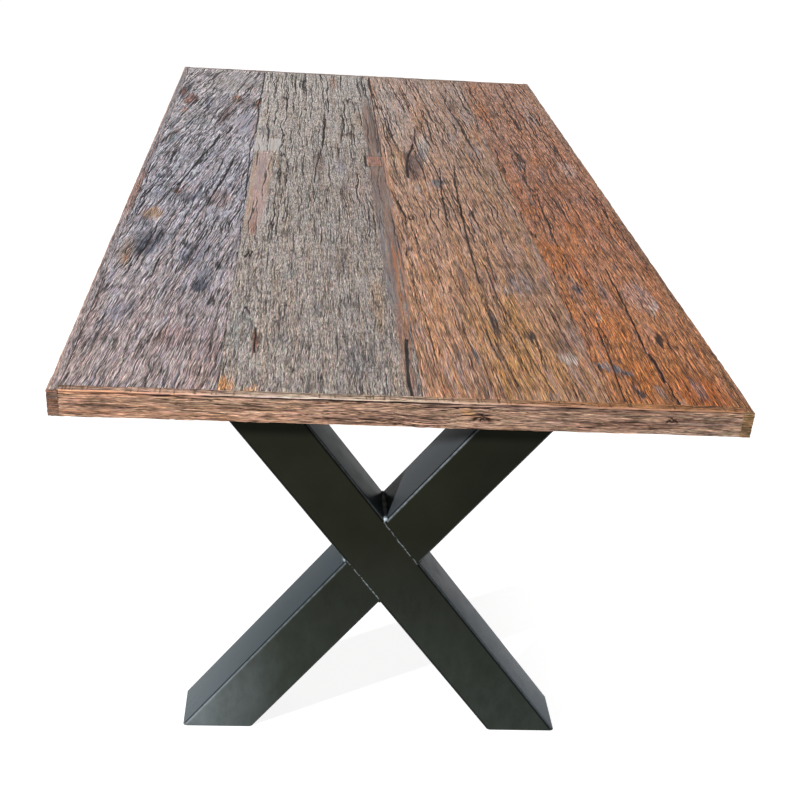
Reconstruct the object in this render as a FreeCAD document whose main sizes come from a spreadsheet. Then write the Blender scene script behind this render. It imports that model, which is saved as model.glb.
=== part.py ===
import FreeCAD, Part
import math
import os
import Sketcher
from FreeCAD import Placement, Rotation, Vector

# Dining table: a top of four old boards with lippings, on two X frames of welded square tube.
# Origin on the floor at the middle of the table, +Y along its length, the front end at -Y.

document = FreeCAD.newDocument("XLegTable")

# Driving dimensions, in millimetres.
DIMENSIONS = [
    # the whole table
    ("table_height", "770"),
    ("top_length", "2100"),
    ("top_thickness", "42"),
    # the boards, from left to right
    ("plank_1_width", "218"),
    ("plank_2_width", "290"),
    ("plank_3_width", "270"),
    ("plank_4_width", "190"),
    ("plank_thickness", "24"),
    ("plank_easing", "1"),
    # the lippings round the boards
    ("strip_thickness", "16"),
    ("strip_round", "3"),
    # the loose tongues in the joints, and their grooves
    ("tongue_thickness", "6"),
    ("groove_depth", "12"),
    ("strip_groove_depth", "6"),
    ("groove_slack", "0.5"),
    # the inlay beside the second joint
    ("patch_length", "80"),
    ("patch_width", "35"),
    ("patch_thickness", "8"),
    ("patch_from_front", "1164"),
    # the battens and their wafer-head screws
    ("batten_margin", "20"),
    ("wood_screw_diameter", "4.5"),
    ("wood_screw_head", "11"),
    ("wood_screw_head_height", "2"),
    ("wood_screw_in_plank", "14"),
    ("screw_slack", "0.1"),
    # the X frames
    ("leg_span", "680"),
    ("leg_inset", "195"),
    ("tube_side", "100"),
    ("tube_wall", "3"),
    ("tube_corner", "6"),
    ("foot_plate_thickness", "4"),
    ("bar_thickness", "5"),
    ("weld_side", "6"),
    ("weld_crown", "9"),
    # the coach screws that hold the frames to the top
    ("coach_screw_diameter", "8"),
    ("coach_screw_in_plank", "12"),
    ("coach_hex", "13"),
    ("coach_hex_height", "5.5"),
    ("coach_pitch", "170"),  # from the middle of the frame to a column
    ("coach_row_gap", "60"),
    ("slot_length", "22"),
    ("slot_slack", "0.5"),
]

# Sizes that follow from the driving dimensions.
FOLLOWING = [
    ("field_width", "Sizes.plank_1_width + Sizes.plank_2_width"
                    " + Sizes.plank_3_width + Sizes.plank_4_width"),
    ("top_width", "field_width + 2 * Sizes.strip_thickness"),
    ("field_length", "Sizes.top_length - 2 * Sizes.strip_thickness"),
    ("joint_1", "Sizes.strip_thickness + Sizes.plank_1_width"),
    ("joint_2", "joint_1 + Sizes.plank_2_width"),
    ("joint_3", "joint_2 + Sizes.plank_3_width"),
    ("field_right", "joint_3 + Sizes.plank_4_width"),
    ("field_rear", "Sizes.top_length - Sizes.strip_thickness"),
    ("batten_thickness", "Sizes.top_thickness - Sizes.plank_thickness"),
    ("plank_middle", "batten_thickness + Sizes.plank_thickness / 2"),
    ("tongue_start", "Sizes.strip_thickness + Sizes.groove_depth"),
    ("tongue_length", "field_length - 2 * Sizes.groove_depth"),
    ("batten_width", "Sizes.tube_side + 2 * Sizes.batten_margin"),
    ("front_leg_middle", "Sizes.leg_inset + Sizes.tube_side / 2"),
    ("rear_leg_middle", "Sizes.top_length - front_leg_middle"),
    ("wood_screw_row", "(Sizes.tube_side + Sizes.batten_margin) / 2"),
    ("coach_hole", "Sizes.coach_screw_diameter + 2 * Sizes.screw_slack"),
    ("coach_slot_width", "Sizes.coach_screw_diameter + 2 * Sizes.slot_slack"),
    ("leg_height", "Sizes.table_height - Sizes.top_thickness"),
    ("leg_run", "leg_height * (Sizes.leg_span * leg_height - Sizes.tube_side"
                " * sqrt(Sizes.leg_span^2 + leg_height^2 - Sizes.tube_side^2))"
                " / (leg_height^2 - Sizes.tube_side^2)"),
    ("lean", "atan2(leg_height; leg_run) / 1 deg"),
    ("tube_length", "leg_height / sin(lean) + Sizes.tube_side / tan(lean)"),
    ("arm_underside", "leg_height - Sizes.bar_thickness"),
    ("crossing_x", "Sizes.leg_span / 2"),
    ("crossing_z", "leg_height / 2"),
    ("inner_corner", "Sizes.tube_corner - Sizes.tube_wall"),
]


def fill_sheet():
    sheet = document.addObject("Spreadsheet::Sheet", "Sizes")
    for row, (name, number) in enumerate(DIMENSIONS, start=1):
        sheet.set("A%d" % row, name)
        sheet.set("B%d" % row, number)
        sheet.setAlias("B%d" % row, name)
    document.recompute()


def fill_following():
    values = document.addObject("App::VarSet", "Derived")
    for name, formula in FOLLOWING:
        values.addProperty("App::PropertyFloat", name, "Derived", "")
        values.setExpression(name, formula)
        document.recompute()
    return values


fill_sheet()
derived = fill_following()


def size(formula):
    # the present value of a formula, for a sketch's first guess and for picking edges
    return float(derived.evalExpression(formula))


# Sketches are attached to a body's own planes. A place is written as x, y and z of the body.
PLANES = {
    "XY_Plane": lambda x, y, z: (x, y, z),
    "XZ_Plane": lambda x, y, z: (x, z, "-(" + y + ")"),
    "YZ_Plane": lambda x, y, z: (y, z, x),
}
NORMALS = {"XY_Plane": "+z", "XZ_Plane": "-y", "YZ_Plane": "+x"}
LEAST_CUT = 1  # mm3, below which a cut has missed its solid
TURN_AXES = {"about_normal": Vector(0, 0, 1), "about_y": Vector(0, 1, 0)}


def new_body(label):
    body = document.addObject("PartDesign::Body", label)
    body.Label = label
    return body


def new_sketch(body, plane, name, x="0", y="0", z="0", turn=None, turn_axis="about_normal"):
    sketch = body.newObject("Sketcher::SketchObject", body.Label + "_" + name)
    support = [item for item in body.Origin.OriginFeatures if item.Role == plane][0]
    sketch.AttachmentSupport = [(support, "")]
    sketch.MapMode = "FlatFace"
    if turn is not None:
        first_guess = Rotation(TURN_AXES[turn_axis], 45)
        sketch.AttachmentOffset = Placement(Vector(0, 0, 0), first_guess)
        sketch.setExpression("AttachmentOffset.Rotation.Angle", turn)
    for letter, formula in zip("xyz", PLANES[plane](x, y, z)):
        sketch.setExpression("AttachmentOffset.Base." + letter, formula)
    return sketch


def constrain(sketch, formula, kind, *places):
    number = sketch.addConstraint(Sketcher.Constraint(kind, *places, size(formula)))
    sketch.setExpression("Constraints[%d]" % number, formula)
    return number


def close_ring(sketch, first, count):
    for step in range(count):
        following = first + (step + 1) % count
        sketch.addConstraint(Sketcher.Constraint("Coincident", first + step, 2, following, 1))


def draw_rectangle(sketch, width, height):
    # centred on the sketch's own origin
    across = size(width) / 2
    up = size(height) / 2
    corners = [(-across, -up), (across, -up), (across, up), (-across, up)]
    draw_lines(sketch, corners)
    for line, kind in enumerate(["Horizontal", "Vertical", "Horizontal", "Vertical"]):
        sketch.addConstraint(Sketcher.Constraint(kind, line))
    sketch.addConstraint(Sketcher.Constraint("Symmetric", 0, 1, 2, 1, -1, 1))
    constrain(sketch, width, "DistanceX", 0, 1, 0, 2)
    constrain(sketch, height, "DistanceY", 1, 1, 1, 2)


def draw_lines(sketch, corners):
    first = sketch.GeometryCount
    for start, end in zip(corners, corners[1:] + corners[:1]):
        sketch.addGeometry(Part.LineSegment(Vector(*start, 0), Vector(*end, 0)))
    close_ring(sketch, first, len(corners))


def draw_rounded_square(sketch, side, radius):
    # four corner arcs first, then the four sides that join them
    reach = size(side) / 2
    corner = size(radius)
    core = reach - corner
    centres = [(core, core), (-core, core), (-core, -core), (core, -core)]
    for quarter, (x, y) in enumerate(centres):
        circle = Part.Circle(Vector(x, y, 0), Vector(0, 0, 1), corner)
        start = quarter * math.pi / 2
        sketch.addGeometry(Part.ArcOfCircle(circle, start, start + math.pi / 2))
    sides = [
        ((core, reach), (-core, reach)),
        ((-reach, core), (-reach, -core)),
        ((-core, -reach), (core, -reach)),
        ((reach, -core), (reach, core)),
    ]
    for start, end in sides:
        sketch.addGeometry(Part.LineSegment(Vector(*start, 0), Vector(*end, 0)))
    for quarter in range(4):
        line = 4 + quarter
        sketch.addConstraint(Sketcher.Constraint("Tangent", quarter, 2, line, 1))
        sketch.addConstraint(Sketcher.Constraint("Tangent", line, 2, (quarter + 1) % 4, 1))
        sketch.addConstraint(Sketcher.Constraint(["Horizontal", "Vertical"][quarter % 2], line))
    for quarter in range(1, 4):
        sketch.addConstraint(Sketcher.Constraint("Equal", 0, quarter))
    sketch.addConstraint(Sketcher.Constraint("Symmetric", 0, 3, 2, 3, -1, 1))
    constrain(sketch, radius, "Radius", 0)
    constrain(sketch, side, "DistanceX", 5, 1, 7, 1)
    constrain(sketch, side, "DistanceY", 6, 1, 4, 1)


def draw_circles(sketch, centres, diameter):
    first = sketch.GeometryCount
    for x, y in centres:
        centre = Vector(size(x), size(y), 0)
        circle = Part.Circle(centre, Vector(0, 0, 1), size(diameter) / 2)
        number = sketch.addGeometry(circle)
        constrain(sketch, x, "DistanceX", -1, 1, number, 3)
        constrain(sketch, y, "DistanceY", -1, 1, number, 3)
        if number > first:
            sketch.addConstraint(Sketcher.Constraint("Equal", first, number))
    constrain(sketch, diameter, "Diameter", first)


def draw_slots(sketch, centres, length, width):
    # slots that run along the sketch's x
    for x, y in centres:
        radius = size(width) / 2
        half = size(length) / 2 - radius
        middle = Vector(size(x), size(y), 0)
        ends = [(half, -math.pi / 2), (-half, math.pi / 2)]
        first = sketch.GeometryCount
        for offset, start in ends:
            circle = Part.Circle(middle + Vector(offset, 0, 0), Vector(0, 0, 1), radius)
            sketch.addGeometry(Part.ArcOfCircle(circle, start, start + math.pi))
        for sign in (1, -1):
            start = middle + Vector(sign * half, sign * radius, 0)
            end = middle + Vector(-sign * half, sign * radius, 0)
            sketch.addGeometry(Part.LineSegment(start, end))
        right, left, top, bottom = range(first, first + 4)
        for one, two in [(right, top), (top, left), (left, bottom), (bottom, right)]:
            sketch.addConstraint(Sketcher.Constraint("Tangent", one, 2, two, 1))
        sketch.addConstraint(Sketcher.Constraint("Horizontal", top))
        sketch.addConstraint(Sketcher.Constraint("Horizontal", bottom))
        constrain(sketch, "(" + width + ") / 2", "Radius", right)
        constrain(sketch, "%s - (%s)" % (length, width), "DistanceX", left, 3, right, 3)
        constrain(sketch, "%s + (%s - (%s)) / 2" % (x, length, width), "DistanceX", -1, 1, right, 3)
        constrain(sketch, y, "DistanceY", -1, 1, right, 3)


def draw_hexagon(sketch, across_flats):
    # centred on the sketch's own origin, with two corners on its x
    radius = across_flats + " / (2 * cos(30))"
    corners = []
    for step in range(6):
        angle = math.radians(60 * step)
        corners.append((size(radius) * math.cos(angle), size(radius) * math.sin(angle)))
    draw_lines(sketch, corners)
    circle = sketch.addGeometry(Part.Circle(Vector(0, 0, 0), Vector(0, 0, 1), size(radius)), True)
    sketch.addConstraint(Sketcher.Constraint("Coincident", circle, 3, -1, 1))
    constrain(sketch, radius, "Radius", circle)
    for line in range(6):
        sketch.addConstraint(Sketcher.Constraint("PointOnObject", line, 1, circle))
    for line in range(1, 5):
        sketch.addConstraint(Sketcher.Constraint("Equal", 0, line))
    sketch.addConstraint(Sketcher.Constraint("PointOnObject", 0, 1, -1))


def draw_bead(sketch, half_angle):
    # a fillet weld's section: its corner at the origin, its crown across the sketch's y
    across = "Sizes.weld_side * sin(%s)" % half_angle
    up = "Sizes.weld_side * cos(%s)" % half_angle
    left = Vector(-size(across), size(up), 0)
    right = Vector(size(across), size(up), 0)
    crown = size("Sizes.weld_crown")
    centre = Vector(0, size(up) - math.sqrt(crown ** 2 - size(across) ** 2), 0)
    start = math.atan2(right.y - centre.y, right.x)
    sketch.addGeometry(Part.LineSegment(Vector(0, 0, 0), right))
    circle = Part.Circle(centre, Vector(0, 0, 1), crown)
    sketch.addGeometry(Part.ArcOfCircle(circle, start, math.pi - start))
    sketch.addGeometry(Part.LineSegment(left, Vector(0, 0, 0)))
    close_ring(sketch, 0, 3)
    sketch.addConstraint(Sketcher.Constraint("Coincident", 0, 1, -1, 1))
    sketch.addConstraint(Sketcher.Constraint("Symmetric", 0, 2, 2, 1, -2))
    constrain(sketch, "2 * " + across, "DistanceX", 2, 1, 0, 2)
    constrain(sketch, up, "DistanceY", -1, 1, 0, 2)
    constrain(sketch, "Sizes.weld_crown", "Radius", 1)


def pad(body, sketch, plane, length, towards):
    feature = body.newObject("PartDesign::Pad", sketch.Label + "_pad")
    feature.Profile = sketch
    feature.setExpression("Length", length)
    if towards == "both":
        feature.SideType = "Symmetric"
    else:
        feature.Reversed = NORMALS[plane] != towards
    sketch.Visibility = False
    document.recompute()
    return feature


def pocket(body, sketch, plane, towards, depth=None):
    # cuts towards one side to a depth, or through everything on both sides
    before = body.Shape.Volume
    feature = body.newObject("PartDesign::Pocket", sketch.Label + "_cut")
    feature.Profile = sketch
    if depth is None:
        feature.Type = "ThroughAll"
        feature.SideType = "Symmetric"
    else:
        feature.setExpression("Length", depth)
        feature.Reversed = NORMALS[plane] == towards
    sketch.Visibility = False
    document.recompute()
    if body.Shape.Volume > before - LEAST_CUT:
        raise RuntimeError(feature.Label + " cuts nothing")
    return feature


def pick_edges(feature, *tests):
    # names of the edges whose every point has the given coordinates
    names = []
    for number, edge in enumerate(feature.Shape.Edges, start=1):
        points = edge.discretize(3)
        for test in tests:
            if all(abs(getattr(p, axis) - size(f)) < 0.01 for p in points for axis, f in test):
                names.append("Edge%d" % number)
    if len(names) != len(tests):
        raise RuntimeError(feature.Label + " lacks an edge to finish")
    return names


def finish_edges(body, kind, amount, *tests):
    base = body.Tip
    feature = body.newObject("PartDesign::" + kind, body.Label + "_" + kind.lower())
    feature.Base = (base, pick_edges(base, *tests))
    feature.setExpression({"Fillet": "Radius", "Chamfer": "Size"}[kind], amount)
    document.recompute()
    return feature


def place_top_piece(body):
    # a top piece is drawn from the lower front left corner of the top
    body.setExpression("Placement.Base.x", "-Derived.top_width / 2")
    body.setExpression("Placement.Base.y", "-Sizes.top_length / 2")
    body.setExpression("Placement.Base.z", "Derived.leg_height")


def place_leg_piece(body, end):
    # a leg piece is drawn from its frame's lower left corner, its outer side towards the end
    if end == "rear":
        body.Placement = Placement(Vector(0, 0, 0), Rotation(Vector(0, 0, 1), 180))
    sign = {"front": "", "rear": "-"}[end]
    body.setExpression("Placement.Base.x", "-(%sSizes.leg_span / 2)" % sign)
    body.setExpression("Placement.Base.y", "-(%s(Sizes.top_length / 2 - Sizes.leg_inset))" % sign)


def block(label, x, y, z, width, depth, height):
    # a rectangular board, from its lower front left corner
    body = new_body(label)
    middle = ["%s + (%s) / 2" % (x, width), "%s + (%s) / 2" % (y, depth)]
    sketch = new_sketch(body, "XY_Plane", "outline", middle[0], middle[1], z)
    draw_rectangle(sketch, width, depth)
    pad(body, sketch, "XY_Plane", height, "+z")
    place_top_piece(body)
    return body


JOINTS = ["Sizes.strip_thickness", "Derived.joint_1", "Derived.joint_2",
          "Derived.joint_3", "Derived.field_right"]
PLANK_WIDTHS = ["Sizes.plank_%d_width" % number for number in (1, 2, 3, 4)]
LEG_MIDDLES = {"front": "Derived.front_leg_middle", "rear": "Derived.rear_leg_middle"}
BATTEN_MIDDLES = {"front": "Derived.front_leg_middle", "middle": "Sizes.top_length / 2",
                  "rear": "Derived.rear_leg_middle"}


def wood_screws(batten):
    # one screw in the middle of a board, in turn before and behind the mounting bar, by board
    # (the coach screws hold the two middle boards to the end battens)
    boards = {"front": (1, 4), "middle": (1, 2, 3, 4), "rear": (1, 4)}[batten]
    places = {}
    for number in boards:
        side = {0: "-", 1: "+"}[number % 2]
        places[number] = ("(%s + %s) / 2" % (JOINTS[number - 1], JOINTS[number]),
                          "%s %s Derived.wood_screw_row" % (BATTEN_MIDDLES[batten], side))
    return places


def coach_screws(x, y):
    # two rows and two columns about a middle
    centres = []
    for column in (-1, 1):
        for row in (-1, 1):
            centres.append(("%s + %d * Sizes.coach_pitch" % (x, column),
                            "%s + %d * Sizes.coach_row_gap / 2" % (y, row)))
    return centres


def drill(body, name, plane, at, centres, diameter, depth, towards):
    x, y, z = at
    sketch = new_sketch(body, plane, name, x, y, z)
    draw_circles(sketch, centres, diameter)
    return pocket(body, sketch, plane, towards, depth)


WOOD_SCREW_HOLE = "Sizes.wood_screw_diameter + 2 * Sizes.screw_slack"


def cut_groove(body, name, plane, at, depth, towards="both", length=None):
    # a slot for a loose tongue in the middle of the boards' thickness
    sketch = new_sketch(body, plane, name, *at)
    draw_rectangle(sketch, "2 * " + depth, "Sizes.tongue_thickness")
    pocket(body, sketch, plane, towards, length)


def make_plank(number):
    left = JOINTS[number - 1]
    right = JOINTS[number]
    body = block("plank_%d" % number, left, "Sizes.strip_thickness", "Derived.batten_thickness",
                 PLANK_WIDTHS[number - 1], "Derived.field_length", "Sizes.plank_thickness")
    finish_edges(body, "Chamfer", "Sizes.plank_easing",
                 [("x", left), ("z", "Sizes.top_thickness")],
                 [("x", right), ("z", "Sizes.top_thickness")])
    for name, x in [("left_groove", left), ("right_groove", right)]:
        cut_groove(body, name, "XZ_Plane", (x, "0", "Derived.plank_middle"), "Sizes.groove_depth")
    for name, y in [("front_groove", "Sizes.strip_thickness"), ("rear_groove", "Derived.field_rear")]:
        cut_groove(body, name, "YZ_Plane", ("0", y, "Derived.plank_middle"), "Sizes.groove_depth")
    screws = [wood_screws(batten) for batten in BATTEN_MIDDLES]
    pilots = [places[number] for places in screws if number in places]
    drill(body, "pilot_holes", "XY_Plane", ("0", "0", "Derived.batten_thickness"), pilots,
          WOOD_SCREW_HOLE, "Sizes.wood_screw_in_plank + Sizes.screw_slack", "+z")
    drill_for_coach_screws(body, left, right)
    if number == 2:
        cut_patch_recess(body)
    return body


def drill_for_coach_screws(body, left, right):
    # only the screws that reach into this board
    centres = []
    radius = size("Derived.coach_hole") / 2
    for middle in LEG_MIDDLES.values():
        for x, y in coach_screws("Derived.top_width / 2", middle):
            if size(left) - radius < size(x) < size(right) + radius:
                centres.append((x, y))
    if centres:
        drill(body, "coach_screw_holes", "XY_Plane", ("0", "0", "Derived.batten_thickness"),
              centres, "Derived.coach_hole", "Sizes.coach_screw_in_plank + Sizes.screw_slack",
              "+z")


PATCH_PLACE = ["Derived.joint_2 - Sizes.patch_width / 2",
               "Sizes.patch_from_front + Sizes.patch_length / 2",
               "Sizes.top_thickness"]


def cut_patch_recess(body):
    sketch = new_sketch(body, "XY_Plane", "patch_recess", *PATCH_PLACE)
    draw_rectangle(sketch, "Sizes.patch_width", "Sizes.patch_length")
    pocket(body, sketch, "XY_Plane", "-z", "Sizes.patch_thickness")


def make_patch():
    body = new_body("seam_patch")
    sketch = new_sketch(body, "XY_Plane", "outline", *PATCH_PLACE)
    draw_rectangle(sketch, "Sizes.patch_width", "Sizes.patch_length")
    pad(body, sketch, "XY_Plane", "Sizes.patch_thickness", "-z")
    finish_edges(body, "Chamfer", "Sizes.plank_easing",
                 [("x", "Derived.joint_2"), ("z", "Sizes.top_thickness")])
    place_top_piece(body)
    return body


IN_PLANK = "(Sizes.groove_depth - Sizes.groove_slack)"
IN_STRIP = "(Sizes.strip_groove_depth - Sizes.groove_slack)"
TONGUE_BOTTOM = "Derived.plank_middle - Sizes.tongue_thickness / 2"


def make_tongue(number):
    return block("tongue_%d" % number, JOINTS[number] + " - " + IN_PLANK, "Derived.tongue_start",
                 TONGUE_BOTTOM, "2 * " + IN_PLANK, "Derived.tongue_length",
                 "Sizes.tongue_thickness")


def make_side_tongue(side):
    joint, reach = {"left": ("Sizes.strip_thickness", IN_STRIP),
                    "right": ("Derived.field_right", IN_PLANK)}[side]
    return block(side + "_edge_tongue", joint + " - " + reach, "Derived.tongue_start",
                 TONGUE_BOTTOM, IN_PLANK + " + " + IN_STRIP, "Derived.tongue_length",
                 "Sizes.tongue_thickness")


def make_end_tongue(end):
    joint, reach = {"front": ("Sizes.strip_thickness", IN_STRIP),
                    "rear": ("Derived.field_rear", IN_PLANK)}[end]
    return block(end + "_edge_tongue", "Sizes.strip_thickness", joint + " - " + reach,
                 TONGUE_BOTTOM, "Derived.field_width", IN_PLANK + " + " + IN_STRIP,
                 "Sizes.tongue_thickness")


def make_side_strip(side):
    left, outer, inner = {
        "left": ("0", "0", "Sizes.strip_thickness"),
        "right": ("Derived.field_right", "Derived.top_width", "Derived.field_right"),
    }[side]
    body = block(side + "_edge_strip", left, "0", "0", "Sizes.strip_thickness",
                 "Sizes.top_length", "Sizes.top_thickness")
    finish_edges(body, "Fillet", "Sizes.strip_round",
                 [("x", outer), ("z", "Sizes.top_thickness")],
                 [("y", "0"), ("z", "Sizes.top_thickness")],
                 [("y", "Sizes.top_length"), ("z", "Sizes.top_thickness")],
                 [("x", outer), ("y", "0")],
                 [("x", outer), ("y", "Sizes.top_length")])
    cut_groove(body, "groove", "XZ_Plane", (inner, "Derived.tongue_start", "Derived.plank_middle"),
               "Sizes.strip_groove_depth", "+y", "Derived.tongue_length")
    return body


def make_end_strip(end):
    front, outer, inner = {
        "front": ("0", "0", "Sizes.strip_thickness"),
        "rear": ("Derived.field_rear", "Sizes.top_length", "Derived.field_rear"),
    }[end]
    body = block(end + "_edge_strip", "Sizes.strip_thickness", front, "0", "Derived.field_width",
                 "Sizes.strip_thickness", "Sizes.top_thickness")
    finish_edges(body, "Fillet", "Sizes.strip_round",
                 [("y", outer), ("z", "Sizes.top_thickness")])
    cut_groove(body, "groove", "YZ_Plane", ("0", inner, "Derived.plank_middle"),
               "Sizes.strip_groove_depth")
    return body


def make_batten(name):
    middle = BATTEN_MIDDLES[name]
    body = block(name + "_batten", "Sizes.strip_thickness", middle + " - Derived.batten_width / 2",
                 "0", "Derived.field_width", "Derived.batten_width", "Derived.batten_thickness")
    drill(body, "screw_holes", "XY_Plane", ("0", "0", "0"), list(wood_screws(name).values()),
          WOOD_SCREW_HOLE, None, "both")
    if name in LEG_MIDDLES:
        drill(body, "coach_screw_holes", "XY_Plane", ("0", "0", "0"),
              coach_screws("Derived.top_width / 2", middle), "Derived.coach_hole", None, "both")
    return body


def make_batten_screws():
    body = new_body("batten_screws")
    centres = []
    for batten in BATTEN_MIDDLES:
        centres.extend(wood_screws(batten).values())
    heads = new_sketch(body, "XY_Plane", "heads")
    draw_circles(heads, centres, "Sizes.wood_screw_head")
    pad(body, heads, "XY_Plane", "Sizes.wood_screw_head_height", "-z")
    shanks = new_sketch(body, "XY_Plane", "shanks")
    draw_circles(shanks, centres, "Sizes.wood_screw_diameter")
    pad(body, shanks, "XY_Plane", "Derived.batten_thickness + Sizes.wood_screw_in_plank", "+z")
    place_top_piece(body)
    return body


# The two diagonals of a frame cross at its middle. The through tube falls to the right, seen
# from its outer side, and the two half tubes rise to the right. An axis is a turn about y.
THROUGH_AXIS = "Derived.lean - 90"
HALVES_AXIS = "90 - Derived.lean"
FAR = "2 * Derived.leg_height"


def square_bar(label, axis, hollow):
    # a whole diagonal, longer than the frame is high
    body = new_body(label)
    middle = ("Derived.crossing_x", "Sizes.tube_side / 2", "Derived.crossing_z")
    outer = new_sketch(body, "XY_Plane", "outer", *middle, turn=axis, turn_axis="about_y")
    draw_rounded_square(outer, "Sizes.tube_side", "Sizes.tube_corner")
    pad(body, outer, "XY_Plane", "Derived.tube_length", "both")
    if hollow:
        inner = new_sketch(body, "XY_Plane", "bore", *middle, turn=axis, turn_axis="about_y")
        draw_rounded_square(inner, "Sizes.tube_side - 2 * Sizes.tube_wall",
                            "Derived.inner_corner")
        pocket(body, inner, "XY_Plane", "both")
    return body


def saw_off(body, name, side, z):
    # takes away all that is above or below a level
    shift = {"above": " + ", "below": " - "}[side] + "(" + FAR + ") / 2"
    sketch = new_sketch(body, "XZ_Plane", name, "Derived.crossing_x", "0", z + shift)
    draw_rectangle(sketch, FAR, FAR)
    pocket(body, sketch, "XZ_Plane", "both")


def cope(body, side):
    # takes away all but what lies above or below the through tube, up to its wall
    sign = {"above": 1, "below": -1}[side]
    away = "%d * (Sizes.tube_side - %s) / 2" % (sign, FAR)
    sketch = new_sketch(body, "XZ_Plane", "cope",
                        "Derived.crossing_x + sin(Derived.lean) * " + away, "0",
                        "Derived.crossing_z + cos(Derived.lean) * " + away,
                        turn="-Derived.lean")
    draw_rectangle(sketch, FAR, FAR)
    pocket(body, sketch, "XZ_Plane", "both")


def make_through_tube(end):
    body = square_bar(end + "_leg_through_tube", THROUGH_AXIS, True)
    saw_off(body, "top_cut", "above", "Derived.arm_underside")
    saw_off(body, "foot_cut", "below", "Sizes.foot_plate_thickness")
    place_leg_piece(body, end)
    return body


def make_half_tube(end, side):
    name = {"above": "upper", "below": "lower"}[side]
    body = square_bar("%s_leg_%s_half_tube" % (end, name), HALVES_AXIS, True)
    if side == "above":
        saw_off(body, "top_cut", "above", "Derived.arm_underside")
    else:
        saw_off(body, "foot_cut", "below", "Sizes.foot_plate_thickness")
    cope(body, side)
    place_leg_piece(body, end)
    return body


def make_foot_plate(end, name, axis):
    body = square_bar("%s_leg_%s_foot_plate" % (end, name), axis, False)
    saw_off(body, "top_cut", "above", "Sizes.foot_plate_thickness")
    saw_off(body, "foot_cut", "below", "0")
    place_leg_piece(body, end)
    return body


def make_mounting_bar(end):
    # its slots run across the boards, so that the top can swell and shrink
    body = new_body(end + "_leg_mounting_bar")
    outline = new_sketch(body, "XY_Plane", "outline", "Derived.crossing_x",
                         "Sizes.tube_side / 2", "Derived.arm_underside")
    draw_rectangle(outline, "Sizes.leg_span", "Sizes.tube_side")
    pad(body, outline, "XY_Plane", "Sizes.bar_thickness", "+z")
    slots = new_sketch(body, "XY_Plane", "slots")
    draw_slots(slots, coach_screws("Derived.crossing_x", "Sizes.tube_side / 2"),
               "Sizes.slot_length", "Derived.coach_slot_width")
    pocket(body, slots, "XY_Plane", "both")
    place_leg_piece(body, end)
    return body


def make_coach_screws(end):
    # one screw, then its copies in two rows and two columns
    body = new_body(end + "_leg_screws")
    x, y = coach_screws("Derived.crossing_x", "Sizes.tube_side / 2")[0]
    seat = "Derived.arm_underside"
    head = new_sketch(body, "XY_Plane", "hexagon", x, y, seat)
    draw_hexagon(head, "Sizes.coach_hex")
    parts = [pad(body, head, "XY_Plane", "Sizes.coach_hex_height", "-z")]
    shank = new_sketch(body, "XY_Plane", "shank", "0", "0", seat)
    draw_circles(shank, [(x, y)], "Sizes.coach_screw_diameter")
    reach = "Sizes.bar_thickness + Derived.batten_thickness + Sizes.coach_screw_in_plank"
    parts.append(pad(body, shank, "XY_Plane", reach, "+z"))
    grid = body.newObject("PartDesign::LinearPattern", body.Label + "_grid")
    grid.Originals = parts
    axes = {item.Role: item for item in body.Origin.OriginFeatures}
    grid.Direction = (axes["X_Axis"], [""])
    grid.Direction2 = (axes["Y_Axis"], [""])
    grid.setExpression("Length", "2 * Sizes.coach_pitch")
    grid.setExpression("Length2", "Sizes.coach_row_gap")
    grid.Occurrences = 2
    grid.Occurrences2 = 2
    body.Tip = grid
    document.recompute()
    place_leg_piece(body, end)
    return body


def make_weld_beads(end):
    # a bead lies in each corner of the X and in the two corners under the bar
    body = new_body(end + "_leg_weld_beads")
    up = "Sizes.tube_side / (2 * cos(Derived.lean))"
    across = "Sizes.tube_side / (2 * sin(Derived.lean))"
    arm_in = ("(Derived.arm_underside - Derived.crossing_z) / tan(Derived.lean)"
              " - Sizes.tube_side / (2 * sin(Derived.lean))")
    sharp = "(90 - Derived.lean)"
    corners = [
        ("upper", "0", up, "0", sharp),
        ("lower", "0", "-" + up, "180", sharp),
        ("right", across, "0", "-90", "Derived.lean"),
        ("left", "-" + across, "0", "90", "Derived.lean"),
        ("left_arm", "-(" + arm_in + ")", "Derived.arm_underside - Derived.crossing_z",
         "-90 - Derived.lean / 2", "Derived.lean / 2"),
        ("right_arm", arm_in, "Derived.arm_underside - Derived.crossing_z",
         "90 + Derived.lean / 2", "Derived.lean / 2"),
    ]
    for name, x, z, turn, half_angle in corners:
        sketch = new_sketch(body, "XZ_Plane", name, "Derived.crossing_x + " + x,
                            "Sizes.tube_corner", "Derived.crossing_z + " + z, turn=turn)
        draw_bead(sketch, half_angle)
        pad(body, sketch, "XZ_Plane", "Sizes.tube_side - 2 * Sizes.tube_corner", "+y")
    place_leg_piece(body, end)
    return body


def make_top():
    pieces = [make_plank(number) for number in (1, 2, 3, 4)]
    pieces += [make_tongue(number) for number in (1, 2, 3)]
    for end in ("front", "rear"):
        pieces += [make_end_strip(end), make_end_tongue(end)]
    for side in ("left", "right"):
        pieces += [make_side_strip(side), make_side_tongue(side)]
    pieces += [make_batten(name) for name in BATTEN_MIDDLES]
    return pieces + [make_batten_screws(), make_patch()]


def make_leg(end):
    return [
        make_through_tube(end),
        make_half_tube(end, "above"),
        make_half_tube(end, "below"),
        make_foot_plate(end, "through", THROUGH_AXIS),
        make_foot_plate(end, "half", HALVES_AXIS),
        make_mounting_bar(end),
        make_weld_beads(end),
        make_coach_screws(end),
    ]


def check_document(pieces):
    for item in document.Objects:
        if "Invalid" in item.State or "Error" in item.State:
            raise RuntimeError(item.Label + " failed: " + ", ".join(item.State))
    for piece in pieces:
        if piece.Shape.isNull() or not piece.Shape.isValid():
            raise RuntimeError(piece.Label + " has no sound shape")


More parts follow.
